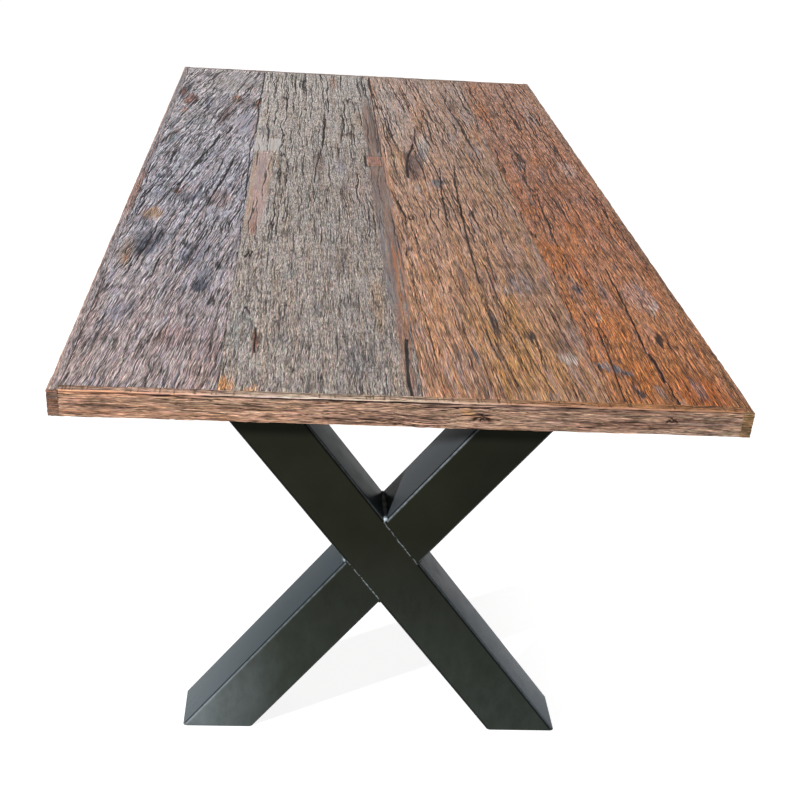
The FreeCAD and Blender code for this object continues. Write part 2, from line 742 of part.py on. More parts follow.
def export(pieces):
    os.makedirs("parts", exist_ok=True)
    for piece in pieces:
        piece.Shape.exportStep("parts/" + piece.Label + ".step")
        box = piece.Shape.BoundBox
        print("%-30s %2d solids  %7.1f x %7.1f x %6.1f mm  %10.0f mm3" % (
            piece.Label, len(piece.Shape.Solids), box.XLength, box.YLength, box.ZLength,
            piece.Shape.Volume))


pieces = make_top() + make_leg("front") + make_leg("rear")
document.recompute()
check_document(pieces)
export(pieces)
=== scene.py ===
import math

import bpy
import numpy as np
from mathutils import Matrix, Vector


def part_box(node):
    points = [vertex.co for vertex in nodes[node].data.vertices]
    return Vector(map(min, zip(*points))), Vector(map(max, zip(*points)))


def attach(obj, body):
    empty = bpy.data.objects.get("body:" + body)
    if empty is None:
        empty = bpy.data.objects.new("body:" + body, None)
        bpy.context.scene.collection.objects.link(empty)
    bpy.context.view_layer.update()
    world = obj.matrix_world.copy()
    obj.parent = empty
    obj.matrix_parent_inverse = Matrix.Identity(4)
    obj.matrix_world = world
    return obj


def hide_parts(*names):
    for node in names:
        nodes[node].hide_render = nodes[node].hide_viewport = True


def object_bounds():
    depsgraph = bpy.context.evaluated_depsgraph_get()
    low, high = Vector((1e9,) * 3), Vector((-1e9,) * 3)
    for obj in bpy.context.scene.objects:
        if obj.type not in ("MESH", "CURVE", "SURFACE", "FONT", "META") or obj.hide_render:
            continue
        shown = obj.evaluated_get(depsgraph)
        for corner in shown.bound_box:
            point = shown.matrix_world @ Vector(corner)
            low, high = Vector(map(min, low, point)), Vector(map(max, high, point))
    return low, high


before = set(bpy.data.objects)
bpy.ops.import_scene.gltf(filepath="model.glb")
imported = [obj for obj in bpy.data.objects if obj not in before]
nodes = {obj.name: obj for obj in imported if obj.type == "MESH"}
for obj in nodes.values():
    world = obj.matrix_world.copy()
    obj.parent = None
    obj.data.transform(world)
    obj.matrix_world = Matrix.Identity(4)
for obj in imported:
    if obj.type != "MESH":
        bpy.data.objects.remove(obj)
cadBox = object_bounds()
print("frame loaded:", len(nodes), "nodes")

mm = 0.001
halfWidth = cadBox[1].x
halfLength = cadBox[1].y


def tone(code):
    # a paint-chart colour made linear
    parts = [int(code[i:i + 2], 16) / 255 for i in (1, 3, 5)]
    return [p / 12.92 if p < 0.04045 else ((p + 0.055) / 1.055) ** 2.4 for p in parts]


def useOnly(piece):
    bpy.ops.object.select_all(action="DESELECT")
    piece.select_set(True)
    bpy.context.view_layer.objects.active = piece
    return piece


def fresh(name):
    # the primitive that was just added, named and alone in the selection
    piece = bpy.context.object
    piece.name = piece.data.name = name
    return useOnly(piece)


def startEdit(piece, mode="VERT"):
    useOnly(piece)
    bpy.ops.object.mode_set(mode="EDIT")
    bpy.ops.mesh.select_mode(type=mode)
    bpy.ops.mesh.select_all(action="DESELECT")


def pick(piece, kind, test):
    # selects faces, edges or vertices in code, then goes back to edit mode
    bpy.ops.object.mode_set(mode="OBJECT")
    mesh = piece.data
    for item in {"FACE": mesh.polygons, "EDGE": mesh.edges, "VERT": mesh.vertices}[kind]:
        item.select = bool(test(item))
    bpy.ops.object.mode_set(mode="EDIT")


def endEdit():
    bpy.ops.object.mode_set(mode="OBJECT")


def settle(piece):
    # the object goes to the origin and its place into its mesh
    useOnly(piece)
    bpy.ops.object.transform_apply(location=True, rotation=True, scale=True)
    return piece


def applyModifier(piece, kind, **settings):
    useOnly(piece)
    modifier = piece.modifiers.new(kind.lower(), kind)
    for name, value in settings.items():
        setattr(modifier, name, value)
    bpy.ops.object.modifier_apply(modifier=modifier.name)


def smooth(piece, degrees=35):
    useOnly(piece)
    bpy.ops.object.shade_smooth_by_angle(angle=math.radians(degrees))


def faceOutwards():
    bpy.ops.mesh.select_all(action="SELECT")
    bpy.ops.mesh.normals_make_consistent(inside=False)


def closeGrid(piece, drop):
    # the rim of a grid is drawn out by drop and closed
    startEdit(piece, "EDGE")
    bpy.ops.mesh.select_non_manifold()
    bpy.ops.mesh.extrude_region_move(TRANSFORM_OT_translate={"value": drop})
    bpy.ops.mesh.edge_face_add()
    faceOutwards()


def unwrap(piece, margin=0.004):
    piece.data.uv_layers.new(name="OFBake")
    bpy.ops.uv.smart_project(angle_limit=1.15, island_margin=margin, scale_to_bounds=True)


def joinAs(pieces, name):
    bpy.ops.object.select_all(action="DESELECT")
    for piece in pieces:
        piece.select_set(True)
    bpy.context.view_layer.objects.active = pieces[0]
    bpy.ops.object.join()
    return fresh(name)


def copyTo(piece, spots):
    # the piece stands at the first spot, and each copy has its own mesh
    made = [piece]
    for x, y in spots[1:]:
        useOnly(piece)
        bpy.ops.object.duplicate()
        copied = bpy.context.object
        copied.location = (x - spots[0][0], y - spots[0][1], 0)
        made.append(settle(copied))
    return made


def dress(piece, material, slot, *replaced):
    piece.data.materials.clear()
    piece.data.materials.append(material)
    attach(piece, "root")
    if replaced:
        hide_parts(*replaced)
    return piece


def places(mesh):
    flat = np.empty(len(mesh.vertices) * 3)
    mesh.vertices.foreach_get("co", flat)
    return flat.reshape(-1, 3)


def putPlaces(mesh, spots):
    mesh.vertices.foreach_set("co", spots.ravel())
    mesh.update()


def writeUv(mesh, name, u, v):
    layer = mesh.uv_layers.get(name) or mesh.uv_layers.new(name=name)
    corner = np.empty(len(mesh.loops), int)
    mesh.loops.foreach_get("vertex_index", corner)
    layer.data.foreach_set("uv", np.stack([u[corner], v[corner]], 1).ravel())


def writeColour(mesh, name, red, green, blue):
    layer = mesh.attributes.get(name) or mesh.attributes.new(name, "FLOAT_COLOR", "POINT")
    filled = np.stack([red, green, blue, np.ones_like(red)], 1)
    layer.data.foreach_set("color", filled.ravel())


lattice = np.random.default_rng(41).random((256, 256))


def softNoise(x, y, seed=0):
    # smooth noise from 0 to 1 with one bump a unit
    x = x + 17.3 * seed
    y = y + 9.1 * seed
    left = np.floor(x).astype(int)
    low = np.floor(y).astype(int)
    across = x - left
    up = y - low
    across = across * across * (3 - 2 * across)
    up = up * up * (3 - 2 * up)
    near = lattice[left & 255, low & 255] * (1 - across) + lattice[(left + 1) & 255, low & 255] * across
    far = (lattice[left & 255, (low + 1) & 255] * (1 - across)
           + lattice[(left + 1) & 255, (low + 1) & 255] * across)
    return near * (1 - up) + far * up


# shader helpers
def newMaterial(name):
    material = bpy.data.materials.new(name)
    material.use_nodes = True
    tree = material.node_tree
    return material, tree, tree.nodes["Principled BSDF"]


def addNode(tree, kind, inputs, **settings):
    made = tree.nodes.new("ShaderNode" + kind)
    for name, value in settings.items():
        setattr(made, name, value)
    for socket, value in inputs.items():
        if isinstance(value, bpy.types.NodeSocket):
            tree.links.new(value, made.inputs[socket])
        else:
            made.inputs[socket].default_value = value
    return made


def maths(tree, operation, one, two=0.5, clamp=False):
    return addNode(tree, "Math", {0: one, 1: two}, operation=operation, use_clamp=clamp).outputs[0]


def scaled(tree, vector, factors):
    return addNode(tree, "VectorMath", {0: vector, 1: factors}, operation="MULTIPLY").outputs[0]


def noise(tree, vector, scale, detail=2.0, roughness=0.5, seed=0.0):
    shifted = addNode(tree, "VectorMath", {0: vector, 1: (seed, seed * 1.7, seed * 0.6)},
                      operation="ADD").outputs[0]
    return addNode(tree, "TexNoise", {"Vector": shifted, "Scale": scale, "Detail": detail,
                                      "Roughness": roughness}).outputs["Fac"]


def fit(tree, value, low, high, toLow=0.0, toHigh=1.0):
    return addNode(tree, "MapRange", {"Value": value, "From Min": low, "From Max": high,
                                      "To Min": toLow, "To Max": toHigh}).outputs[0]


def blend(tree, kind, share, one, two):
    made = addNode(tree, "Mix", {}, data_type="RGBA", blend_type=kind)
    for socket, value in ((0, share), (6, one), (7, two)):
        if isinstance(value, bpy.types.NodeSocket):
            tree.links.new(value, made.inputs[socket])
        else:
            made.inputs[socket].default_value = value
    return made.outputs[2]


def grey(tree, value):
    return addNode(tree, "CombineColor", {0: value, 1: value, 2: value}).outputs[0]


def addBump(tree, shader, height, strength, distance):
    bump = addNode(tree, "Bump", {"Height": height, "Strength": strength, "Distance": distance * mm})
    tree.links.new(bump.outputs[0], shader.inputs["Normal"])


grainStretch = 30  # the grain maps are this many times finer across the fibres than along them


def weatheredWood(name, look):
    material, tree, shader = newMaterial(name)
    seed = look["seed"]
    course = addNode(tree, "UVMap", {}, uv_map="grain").outputs[0]
    course = scaled(tree, course, look["fine"] + (1,))
    bends = []
    for shares, size, amount in (((0.03, 1, 1), 9, look["sway"]), ((0.03, 1, 1), 26, 0.08)):
        bend = noise(tree, scaled(tree, course, shares), size, 1, seed=seed + size)
        bends.append(maths(tree, "MULTIPLY", maths(tree, "SUBTRACT", bend, 0.5), amount))
    sway = addNode(tree, "CombineXYZ", {0: maths(tree, "ADD", *bends)}).outputs[0]
    course = addNode(tree, "VectorMath", {0: course, 1: sway}, operation="ADD").outputs[0]

    paint = addNode(tree, "Attribute", {}, attribute_name="paint").outputs["Color"]
    marks = addNode(tree, "SeparateColor",
                    {0: addNode(tree, "Attribute", {}, attribute_name="marks").outputs["Color"]})
    groove, worn, _ = marks.outputs

    def fibres(scale, detail, roughness, step, run=1.0, output="Fac"):
        # noise drawn out along the grain, the longer the smaller run is
        shift = addNode(tree, "VectorMath", {0: scaled(tree, course, (1, run, 1)), 1: (seed + step, seed, 0)},
                        operation="ADD").outputs[0]
        return addNode(tree, "TexNoise", {"Vector": shift, "Scale": scale, "Detail": detail,
                                          "Roughness": roughness}, noise_dimensions="2D").outputs[output]

    def creases(scale, width, step, run):
        # thin lines where the noise crosses its middle, and a painted highlight on one side of each, as of a
        # lit edge
        level = fibres(scale, 1, 0.5, step, run)
        dark = fit(tree, maths(tree, "ABSOLUTE", maths(tree, "SUBTRACT", level, 0.5)),
                   0.3 * width, width, 1.0, 0.0)
        light = fit(tree, maths(tree, "ABSOLUTE", maths(tree, "SUBTRACT", level, 0.5 + 1.7 * width)),
                    0.0, 0.8 * width, 1.0, 0.0)
        return dark, light

    streak = noise(tree, scaled(tree, course, (1, 0.6, 1)), 4, 3, 0.6, seed + 1)
    patch = noise(tree, scaled(tree, course, (0.3, 1.5, 1)), 4, 3, 0.65, seed + 2)
    breaks = noise(tree, scaled(tree, course, (0.5, 2.2, 1)), 6, 2, 0.6, seed + 9)
    fibre = fibres(9, 3, 0.7, 4, 2.0)
    speckle = maths(tree, "ADD", maths(tree, "MULTIPLY", fibres(9, 2, 0.8, 5, look["grit"]), 0.35),
                    maths(tree, "MULTIPLY", fibres(24, 2, 0.75, 6, 0.5 * look["grit"]), 0.65))
    tint = fibres(10, 2, 0.7, 11, 2.5, "Color")
    narrow, narrowHighlight = creases(5.0, 0.085, 7, 0.8)
    hair, hairHighlight = creases(11, 0.12, 8, 1.3)
    narrowShare = fit(tree, breaks, 0.46, 0.54, 0.1, look["lines"])
    narrow = maths(tree, "MULTIPLY", narrow, narrowShare)
    narrowHighlight = maths(tree, "MULTIPLY", narrowHighlight, narrowShare)
    hairShare = fit(tree, patch, 0.6, 0.46, 0.2, look["lines"])
    hair = maths(tree, "MULTIPLY", hair, hairShare)
    fleck = noise(tree, scaled(tree, course, (4, 34, 4)), 1, 2, 0.6, seed + 12)
    fleck = fit(tree, fleck, 0.68, 0.7, 0.0, look["flecks"])

    warmShare = maths(tree, "MULTIPLY", fit(tree, streak, 0.5, 0.64), look["warmth"])
    colour = blend(tree, "MIX", warmShare, paint, tone(look["warm"]) + [1])
    coolStreak = noise(tree, scaled(tree, course, (1, 0.8, 1)), 5, 2, 0.6, seed + 3)
    coolStreak = maths(tree, "ADD", maths(tree, "MULTIPLY", patch, 0.5),
                       maths(tree, "MULTIPLY", coolStreak, 0.5))
    coolShare = maths(tree, "MULTIPLY", fit(tree, coolStreak, 0.5, 0.6), look["chill"])
    colour = blend(tree, "MIX", coolShare, colour, tone(look["cool"]) + [1])
    colour = blend(tree, "MIX", fleck, colour, tone("#3b3840") + [1])
    # small differences of hue from fibre to fibre
    tint = addNode(tree, "VectorMath", {0: tint, 1: (look["tint"],) * 3, 2: (1 - 0.5 * look["tint"],) * 3},
                   operation="MULTIPLY_ADD").outputs[0]
    colour = blend(tree, "MULTIPLY", 1.0, colour, tint)
    shade = fit(tree, fibre, 0.3, 0.7, 0.85, 1.18)
    shade = maths(tree, "MULTIPLY", shade, fit(tree, speckle, 0.36, 0.64, 1 - look["speckle"],
                                               1 + look["speckle"]))
    # the painted highlights beside the lines lighten the shade, and the lines darken it
    for layer, most in ((narrowHighlight, 1.3), (hairHighlight, 1.2), (narrow, 0.2), (hair, 0.38)):
        shade = maths(tree, "MULTIPLY", shade, fit(tree, layer, 0.0, 1.0, 1.0, most))
    calm = addNode(tree, "Mix", {0: worn, 2: shade, 3: 1.0}).outputs[0]
    # a crack's edge is crisp and frayed by the grit
    frayed = maths(tree, "ADD", groove, maths(tree, "MULTIPLY", maths(tree, "SUBTRACT", speckle, 0.5), 0.8))
    colour = blend(tree, "MULTIPLY", 1.0, colour, grey(tree, calm))
    colour = blend(tree, "MIX", fit(tree, frayed, 0.28, 0.7), colour, tone(look["crack"]) + [1])
    tree.links.new(colour, shader.inputs["Base Color"])

    rough = fit(tree, fibre, 0.3, 0.7, 0.75, 0.5)
    tree.links.new(addNode(tree, "Mix", {0: worn, 2: rough, 3: 0.42}).outputs[0],
                   shader.inputs["Roughness"])
    relief = maths(tree, "ADD", maths(tree, "MULTIPLY", fibre, 0.5), maths(tree, "MULTIPLY", speckle, 0.3))
    for layer, share in ((narrow, 0.4), (hair, 0.2), (fleck, 0.3)):
        relief = maths(tree, "SUBTRACT", relief, maths(tree, "MULTIPLY", layer, share))
    relief = addNode(tree, "Mix", {0: maths(tree, "MULTIPLY", worn, 0.8), 2: relief, 3: 0.3}).outputs[0]
    addBump(tree, shader, relief, 0.9, 2.2)
    shader.inputs["Specular IOR Level"].default_value = 0.15
    return material


print("helpers ready")


# Places on the top are in millimetres, from the front left corner.
boardCommon = {
    "across": 1.4,  # the size of a face across and along the grain
    "along": 5.2,
    "gap": 0.15,  # kept free beside each board
    "grooves": 1.1,  # depth of the fibre relief
    "waves": 0.9,  # depth of the uneven wear
    "planed": "#9a7a60",  # underneath
}

tones = {
    "navy": "#333a4b", "ink": "#1f1c1f", "blueGrey": "#767a88", "lavender": "#9997a6",
    "slate": "#676a72", "teal": "#7d8789", "paleGrey": "#b3adab", "white": "#cfc9c6",
    "pink": "#a88a84", "red": "#8e4f3c", "rust": "#8a4a22", "orange": "#b36b33",
    "deepOrange": "#a3561f", "amber": "#b98543", "peach": "#e0a06a", "tan": "#ab8f76",
    "brown": "#6c4f44", "darkBrown": "#35231f", "plum": "#6b5450", "mauve": "#6a4f45",
    "greenGrey": "#85857a",
}

holes = {"ink": 0.75, "darkBrown": 0.55, "navy": 0.45}  # small spots of these tones are dark hollows

# A spot is tone, x, y, half width, half length, tilt in degrees, strength.
# Checks are from y, to y, spacing, length, half width, darkness.
# The lean of the fibres is given at the near and the far end, how light a board is at its two sides.
# A crack is width, depth, darkness and the points it runs through.
boards = {
    "plank_1": {
        "edges": (16, 234),
        "tones": ("#b5a39f", "#bfbcc6", "#e4dada"),
        "look": {"seed": 1.3, "sway": 0.6, "warm": "#b08474", "warmth": 0.35, "cool": "#6c7790",
                 "chill": 0.4, "speckle": 0.8, "flecks": 0.5, "lines": 1.0, "tint": 0.5,
                 "fine": (1.6, 1.3), "grit": 2.6, "crack": "#1d1a1c"},
        "lean": (0.09, 0.17), "light": (1.0, 0.93),
        "checks": [
            (0, 520, 5, 80, 0.8, 0.8),
            (480, 980, 5, 100, 1.1, 0.95),
            (950, 1650, 5.5, 130, 1.1, 1.0),
            (1600, 2084, 5.5, 110, 1.3, 1.0),
        ],
        "spots": [
            ("navy", 70, 602, 22, 60, 6, 0.9), ("slate", 78, 646, 40, 45, 0, 0.6),
            ("tan", 38, 548, 13, 70, 0, 0.6), ("orange", 40, 524, 5, 25, 0, 0.5),
            ("blueGrey", 159, 557, 26, 55, 8, 0.7), ("navy", 144, 523, 9, 14, 0, 0.7),
            ("ink", 140, 605, 8, 16, 0, 0.6), ("navy", 204, 505, 8, 18, 0, 0.7),
            ("navy", 179, 405, 12, 34, 8, 0.85), ("blueGrey", 183, 456, 14, 50, 8, 0.6),
            ("ink", 202, 345, 8, 16, 0, 0.7), ("blueGrey", 58, 279, 14, 45, 5, 0.6),
            ("red", 153, 198, 26, 40, 15, 0.35), ("red", 104, 252, 8, 22, 12, 0.35),
            ("pink", 206, 117, 22, 120, 0, 0.4), ("pink", 13, 239, 18, 220, 0, 0.4),
            ("navy", 92, 899, 65, 32, 0, 0.5), ("navy", 46, 1021, 9, 12, 0, 0.8),
            ("navy", 57, 1084, 7, 10, 0, 0.8), ("navy", 121, 876, 10, 22, 0, 0.7),
            ("navy", 136, 1200, 55, 70, 10, 0.3), ("teal", 43, 1324, 26, 35, 0, 0.6),
            ("slate", 69, 1151, 40, 60, 0, 0.12), ("navy", 145, 805, 80, 6, 0, 0.4),
            ("navy", 208, 979, 20, 8, 0, 0.6), ("pink", 184, 880, 26, 60, 0, 0.5),
            ("pink", 107, 954, 30, 30, 0, 0.4), ("teal", 73, 942, 16, 22, 0, 0.5),
            ("paleGrey", 88, 923, 17, 20, 0, 0.55), ("rust", 93, 925, 8, 13, 0, 0.95),
            ("peach", 57, 771, 19, 34, 0, 0.7), ("tan", 57, 774, 15, 26, 0, 0.95),
            ("darkBrown", 55, 777, 8, 9, 0, 0.45), ("slate", 40, 731, 22, 40, 0, 0.5),
            ("teal", 84, 1499, 34, 60, 0, 0.5), ("plum", 149, 1570, 12, 95, 4, 0.75),
            ("darkBrown", 151, 1540, 6, 50, 4, 0.7), ("navy", 171, 1700, 55, 75, 0, 0.4),
            ("orange", 169, 1754, 10, 26, 0, 0.65), ("tan", 169, 1730, 12, 50, 0, 0.5),
            ("paleGrey", 165, 1925, 75, 105, 0, 0.7), ("orange", 202, 1877, 10, 28, 0, 0.5),
            ("navy", 32, 1822, 10, 90, 6, 0.75), ("navy", 71, 2004, 28, 22, 12, 0.5),
            ("rust", 52, 1716, 18, 52, 0, 0.8), ("rust", 24, 1790, 11, 40, 0, 0.6),
            ("orange", 47, 1598, 6, 35, 0, 0.6),
            ("navy", 35, 1460, 6, 55, 8, 0.7), ("blueGrey", 104, 1673, 14, 120, -6, 0.6),
            ("rust", 229, 1716, 7, 62, 6, 0.85), ("white", 115, 1175, 2.5, 160, 9, 0.55),
            ("navy", 154, 1432, 8, 40, 4, 0.6),
            ("white", 143, 1394, 9, 7, 0, 0.8), ("pink", 49, 1393, 8, 30, 0, 0.5),
            ("navy", 119, 2026, 120, 8, 0, 0.3),
        ],
        "smooth": [
            ("lavender", 203, 1500, 28, 105, 0, 0.8), ("paleGrey", 170, 1930, 60, 90, 0, 0.4),
            ("pink", 226, 1409, 6, 200, 0, 0.5),
        ],
        "cracks": [
            (3.5, 2.2, 0.9, [(148, 1382), (140, 1293), (125, 1204), (109, 1095), (90, 967)]),
            (3.0, 2.2, 0.9, [(194, 1170), (180, 1032), (167, 933), (157, 835)]),
            (2.0, 1.4, 0.7, [(95, 851), (84, 753), (74, 675)]),
            (2.5, 1.6, 0.8, [(74, 675), (66, 587), (60, 520)]),
            (2.2, 1.5, 0.7, [(171, 621), (162, 543), (154, 503)]),
            (1.8, 1.2, 0.6, [(115, 463), (92, 318), (75, 231)]),
            (1.8, 1.2, 0.6, [(144, 290), (113, 174), (88, 87)]),
            (1.8, 1.2, 0.6, [(219, 369), (213, 243), (216, 146)]),
            (2.0, 1.2, 0.6, [(27, 1979), (36, 1823), (24, 1704)]),
            (2.0, 1.2, 0.6, [(75, 1906), (91, 1751), (103, 1594)]),
            (2.0, 1.2, 0.6, [(41, 1490), (31, 1391)]),
            (2.6, 1.6, 0.9, [(232, 2070), (232, 1873), (228, 1698), (232, 1560), (231, 1413)]),
            (2.6, 1.6, 0.9, [(231, 1413), (223, 1291), (227, 1181), (229, 1077), (231, 900)]),
        ],
    },
    "plank_2": {
        "edges": (234, 524),
        "tones": ("#ab9e97", "#afa49d", "#d2c8c2"),
        "look": {"seed": 5.1, "sway": 0.35, "warm": "#ac8c6e", "warmth": 0.35, "cool": "#868a8c",
                 "chill": 0.35, "speckle": 0.85, "flecks": 0.45, "lines": 0.8, "tint": 0.45,
                 "fine": (1.4, 1.6), "grit": 4.0, "crack": "#1f1a17"},
        "lean": (0.0, 0.0), "light": (0.97, 0.78),
        "checks": [
            (0, 720, 6, 70, 0.75, 0.8),
            (700, 1420, 7, 150, 1.0, 1.0),
            (1380, 2084, 8, 200, 1.45, 1.0),
        ],
        "spots": [
            ("ink", 251, 568, 9, 12, 0, 0.95), ("slate", 290, 586, 34, 4, 0, 0.5),
            ("ink", 262, 304, 8, 6, 0, 0.95), ("slate", 260, 283, 7, 14, 0, 0.6),
            ("rust", 280, 186, 5, 40, 0, 0.7), ("slate", 264, 207, 6, 10, 0, 0.7),
            ("slate", 257, 115, 7, 10, 0, 0.7), ("teal", 252, 224, 14, 90, 0, 0.4),
            ("peach", 239, 18, 14, 34, 8, 0.9), ("peach", 280, 12, 10, 14, 0, 0.75),
            ("tan", 477, 376, 14, 110, 0, 0.5), ("teal", 327, 470, 10, 22, 0, 0.5),
            ("slate", 420, 552, 12, 30, 0, 0.4), ("slate", 379, 324, 10, 26, 0, 0.4),
            ("slate", 436, 129, 20, 50, 0, 0.4), ("slate", 318, 196, 34, 8, 0, 0.4),
            ("plum", 418, 572, 20, 60, 0, 0.3), ("red", 401, 433, 5, 14, 0, 0.35),
            ("paleGrey", 256, 978, 24, 290, 0, 0.1), ("rust", 253, 742, 7, 70, 0, 0.85),
            ("darkBrown", 250, 800, 5, 40, 0, 0.6), ("paleGrey", 275, 841, 8, 110, 0, 0.5),
            ("ink", 304, 1224, 6, 9, 0, 0.85), ("tan", 288, 1172, 4, 40, -8, 0.6),
            ("plum", 381, 1164, 16, 95, 0, 0.55), ("plum", 432, 989, 8, 60, 4, 0.6),
            ("lavender", 428, 1148, 12, 60, 0, 0.4), ("brown", 454, 1430, 20, 18, 0, 0.6),
            ("darkBrown", 462, 1437, 8, 14, 0, 0.6), ("darkBrown", 294, 1770, 8, 16, 0, 0.9),
            ("brown", 293, 1729, 4, 30, 0, 0.6), ("brown", 247, 1836, 4, 12, 0, 0.7),
            ("darkBrown", 348, 1672, 5, 12, 0, 0.7), ("plum", 414, 1759, 14, 22, 0, 0.5),
            ("darkBrown", 464, 1789, 7, 16, 0, 0.85), ("brown", 475, 1746, 8, 22, -20, 0.6),
            ("brown", 379, 1825, 6, 14, 0, 0.6), ("orange", 426, 1975, 7, 90, 0, 0.4),
            ("greenGrey", 300, 2024, 45, 38, 0, 0.5), ("tan", 481, 1563, 14, 100, 0, 0.5),
            ("teal", 417, 1503, 6, 14, 0, 0.6), ("slate", 478, 1931, 6, 16, 0, 0.5),
            ("pink", 470, 991, 30, 160, 0, 0.25),
        ],
        "smooth": [
            ("pink", 256, 987, 20, 275, 0, 0.9), ("tan", 241, 977, 4, 260, 0, 0.7),
            ("tan", 275, 1058, 4, 130, 0, 0.7), ("slate", 258, 1106, 9, 80, 0, 0.3),
            ("slate", 258, 1420, 16, 50, 0, 0.5),
            ("mauve", 510, 974, 17, 770, 0, 0.95), ("slate", 502, 635, 8, 420, 0, 0.3),
            ("brown", 509, 1490, 15, 250, 0, 0.8), ("darkBrown", 517, 1500, 8, 240, 0, 0.6),
            ("red", 505, 1636, 7, 90, 0, 0.3),
            ("orange", 516, 417, 4, 250, 0, 0.5), ("rust", 508, 170, 10, 170, 0, 0.45),
        ],
        "plates": [("paleGrey", 229, 297, 1252, 1362, 0.85)],
        "cracks": [
            (4.0, 2.6, 0.95, [(400, 1575), (397, 1485), (394, 1404), (391, 1314)]),
            (2.0, 1.4, 0.6, [(399, 1735), (400, 1575)]),
            (2.4, 1.6, 0.7, [(391, 1314), (383, 1224), (375, 1134), (372, 1025)]),
            (2.0, 1.4, 0.6, [(369, 1283), (371, 1164)]),
            (2.4, 1.5, 0.7, [(306, 1307), (305, 1218)]),
            (3.0, 2.0, 0.8, [(279, 239), (280, 147)]),
            (1.6, 1.0, 0.5, [(253, 573), (290, 583), (341, 600)]),
            (2.0, 1.2, 0.6, [(481, 1775), (489, 1715)]),
            (2.0, 1.2, 0.6, [(423, 2070), (418, 1949)]),
            (1.8, 1.2, 0.6, [(263, 409), (261, 331)]),
            (1.6, 1.0, 0.5, [(257, 546), (258, 458)]),
            (4.5, 3.0, 1.0, [(513, 214), (510, 149), (506, 60), (509, 3)]),
            (2.2, 1.4, 0.6, [(501, 1495), (499, 1243)]),
        ],
    },
    "plank_3": {
        "edges": (524, 794),
        "tones": ("#c49372", "#c0987e", "#ccb1a2"),
        "look": {"seed": 9.7, "sway": 0.35, "warm": "#bb7c45", "warmth": 0.5, "cool": "#857d88",
                 "chill": 0.4, "speckle": 0.7, "flecks": 0.6, "lines": 0.8, "tint": 0.5,
                 "fine": (1.3, 1.1), "grit": 2.4, "crack": "#26150e"},
        "lean": (-0.05, -0.05), "light": (0.94, 0.68),
        "checks": [
            (0, 720, 9, 130, 0.85, 0.9),
            (700, 1420, 9, 180, 1.25, 1.0),
            (1380, 2084, 9, 230, 1.6, 1.0),
        ],
        "spots": [
            ("amber", 690, 150, 60, 170, 0, 0.35), ("amber", 640, 330, 24, 160, 0, 0.3),
            ("paleGrey", 575, 1700, 36, 300, 0, 0.5), ("tan", 563, 1250, 18, 150, 3, 0.6),
            ("paleGrey", 622, 1290, 15, 150, 7, 0.65), ("blueGrey", 612, 1250, 6, 60, 6, 0.6),
            ("plum", 630, 1500, 11, 36, 8, 0.85), ("plum", 615, 1420, 5, 70, 10, 0.8),
            ("plum", 596, 1180, 17, 100, 5, 0.9), ("plum", 589, 1220, 9, 70, 5, 0.8),
            ("darkBrown", 583, 1255, 6, 40, 4, 0.8), ("brown", 590, 1110, 14, 34, 0, 0.6),
            ("slate", 640, 1067, 15, 34, 6, 0.85), ("navy", 646, 1045, 6, 18, 6, 0.6),
            ("darkBrown", 549, 1409, 7, 9, 0, 0.85), ("darkBrown", 562, 1440, 5, 9, 20, 0.85),
            ("teal", 592, 1014, 5, 34, 0, 0.6), ("darkBrown", 563, 819, 6, 10, 0, 0.8),
            ("darkBrown", 689, 854, 8, 16, 0, 0.8), ("slate", 646, 851, 8, 40, 0, 0.4),
            ("plum", 629, 465, 6, 110, 0, 0.65), ("darkBrown", 661, 286, 7, 65, 0, 0.8),
            ("navy", 711, 245, 8, 20, 0, 0.9), ("slate", 617, 165, 6, 34, 0, 0.65),
            ("white", 758, 170, 18, 16, 0, 0.5), ("plum", 752, 207, 26, 22, 0, 0.55),
            ("darkBrown", 545, 626, 8, 14, 15, 0.75), ("brown", 573, 630, 6, 14, 0, 0.7),
            ("plum", 532, 248, 6, 14, 0, 0.7), ("brown", 551, 255, 5, 10, 0, 0.7),
            ("amber", 701, 332, 12, 190, 0, 0.45), ("amber", 678, 131, 12, 120, 0, 0.4),
            ("amber", 647, 91, 6, 70, 0, 0.5), ("slate", 598, 111, 26, 90, 0, 0.3),
            ("slate", 733, 473, 22, 60, 0, 0.5), ("plum", 727, 594, 16, 60, 0, 0.5),
            ("slate", 704, 442, 8, 20, 0, 0.7), ("plum", 680, 521, 10, 30, 0, 0.4),
            ("brown", 730, 1756, 22, 45, 0, 0.5), ("slate", 734, 1578, 8, 90, 0, 0.4),
            ("orange", 755, 2067, 6, 28, 0, 0.6), ("darkBrown", 544, 1723, 6, 14, 0, 0.6),
            ("amber", 635, 1568, 10, 90, 4, 0.3), ("tan", 735, 1069, 34, 80, 0, 0.5),
            ("orange", 699, 965, 8, 80, 0, 0.4), ("brown", 663, 1014, 5, 60, 0, 0.4),
            ("navy", 753, 1406, 14, 36, 0, 0.3), ("slate", 742, 1313, 20, 60, 0, 0.35),
            ("pink", 654, 2019, 10, 90, 0, 0.4), ("orange", 775, 1500, 8, 90, 0, 0.4),
            ("slate", 717, 1469, 8, 50, 0, 0.4), ("plum", 773, 484, 6, 40, 0, 0.7),
            ("plum", 546, 120, 12, 60, 0, 0.35), ("slate", 713, 32, 10, 20, 0, 0.5),
        ],
        "smooth": [
            ("plum", 527, 995, 5, 700, 0, 0.8), ("orange", 522, 496, 4, 280, 0, 0.5),
        ],
        "cracks": [
            (2.6, 2.0, 1.0, [(531, 2084), (529, 1837), (528, 1669), (527, 1435), (526, 1245)]),
            (5.0, 3.0, 1.0, [(608, 1370), (598, 1310), (587, 1250), (580, 1180), (577, 1094)]),
            (3.0, 2.0, 0.7, [(577, 1094), (584, 1080), (592, 1078)]),
            (2.6, 2.0, 0.7, [(612, 1400), (618, 1450), (624, 1520)]),
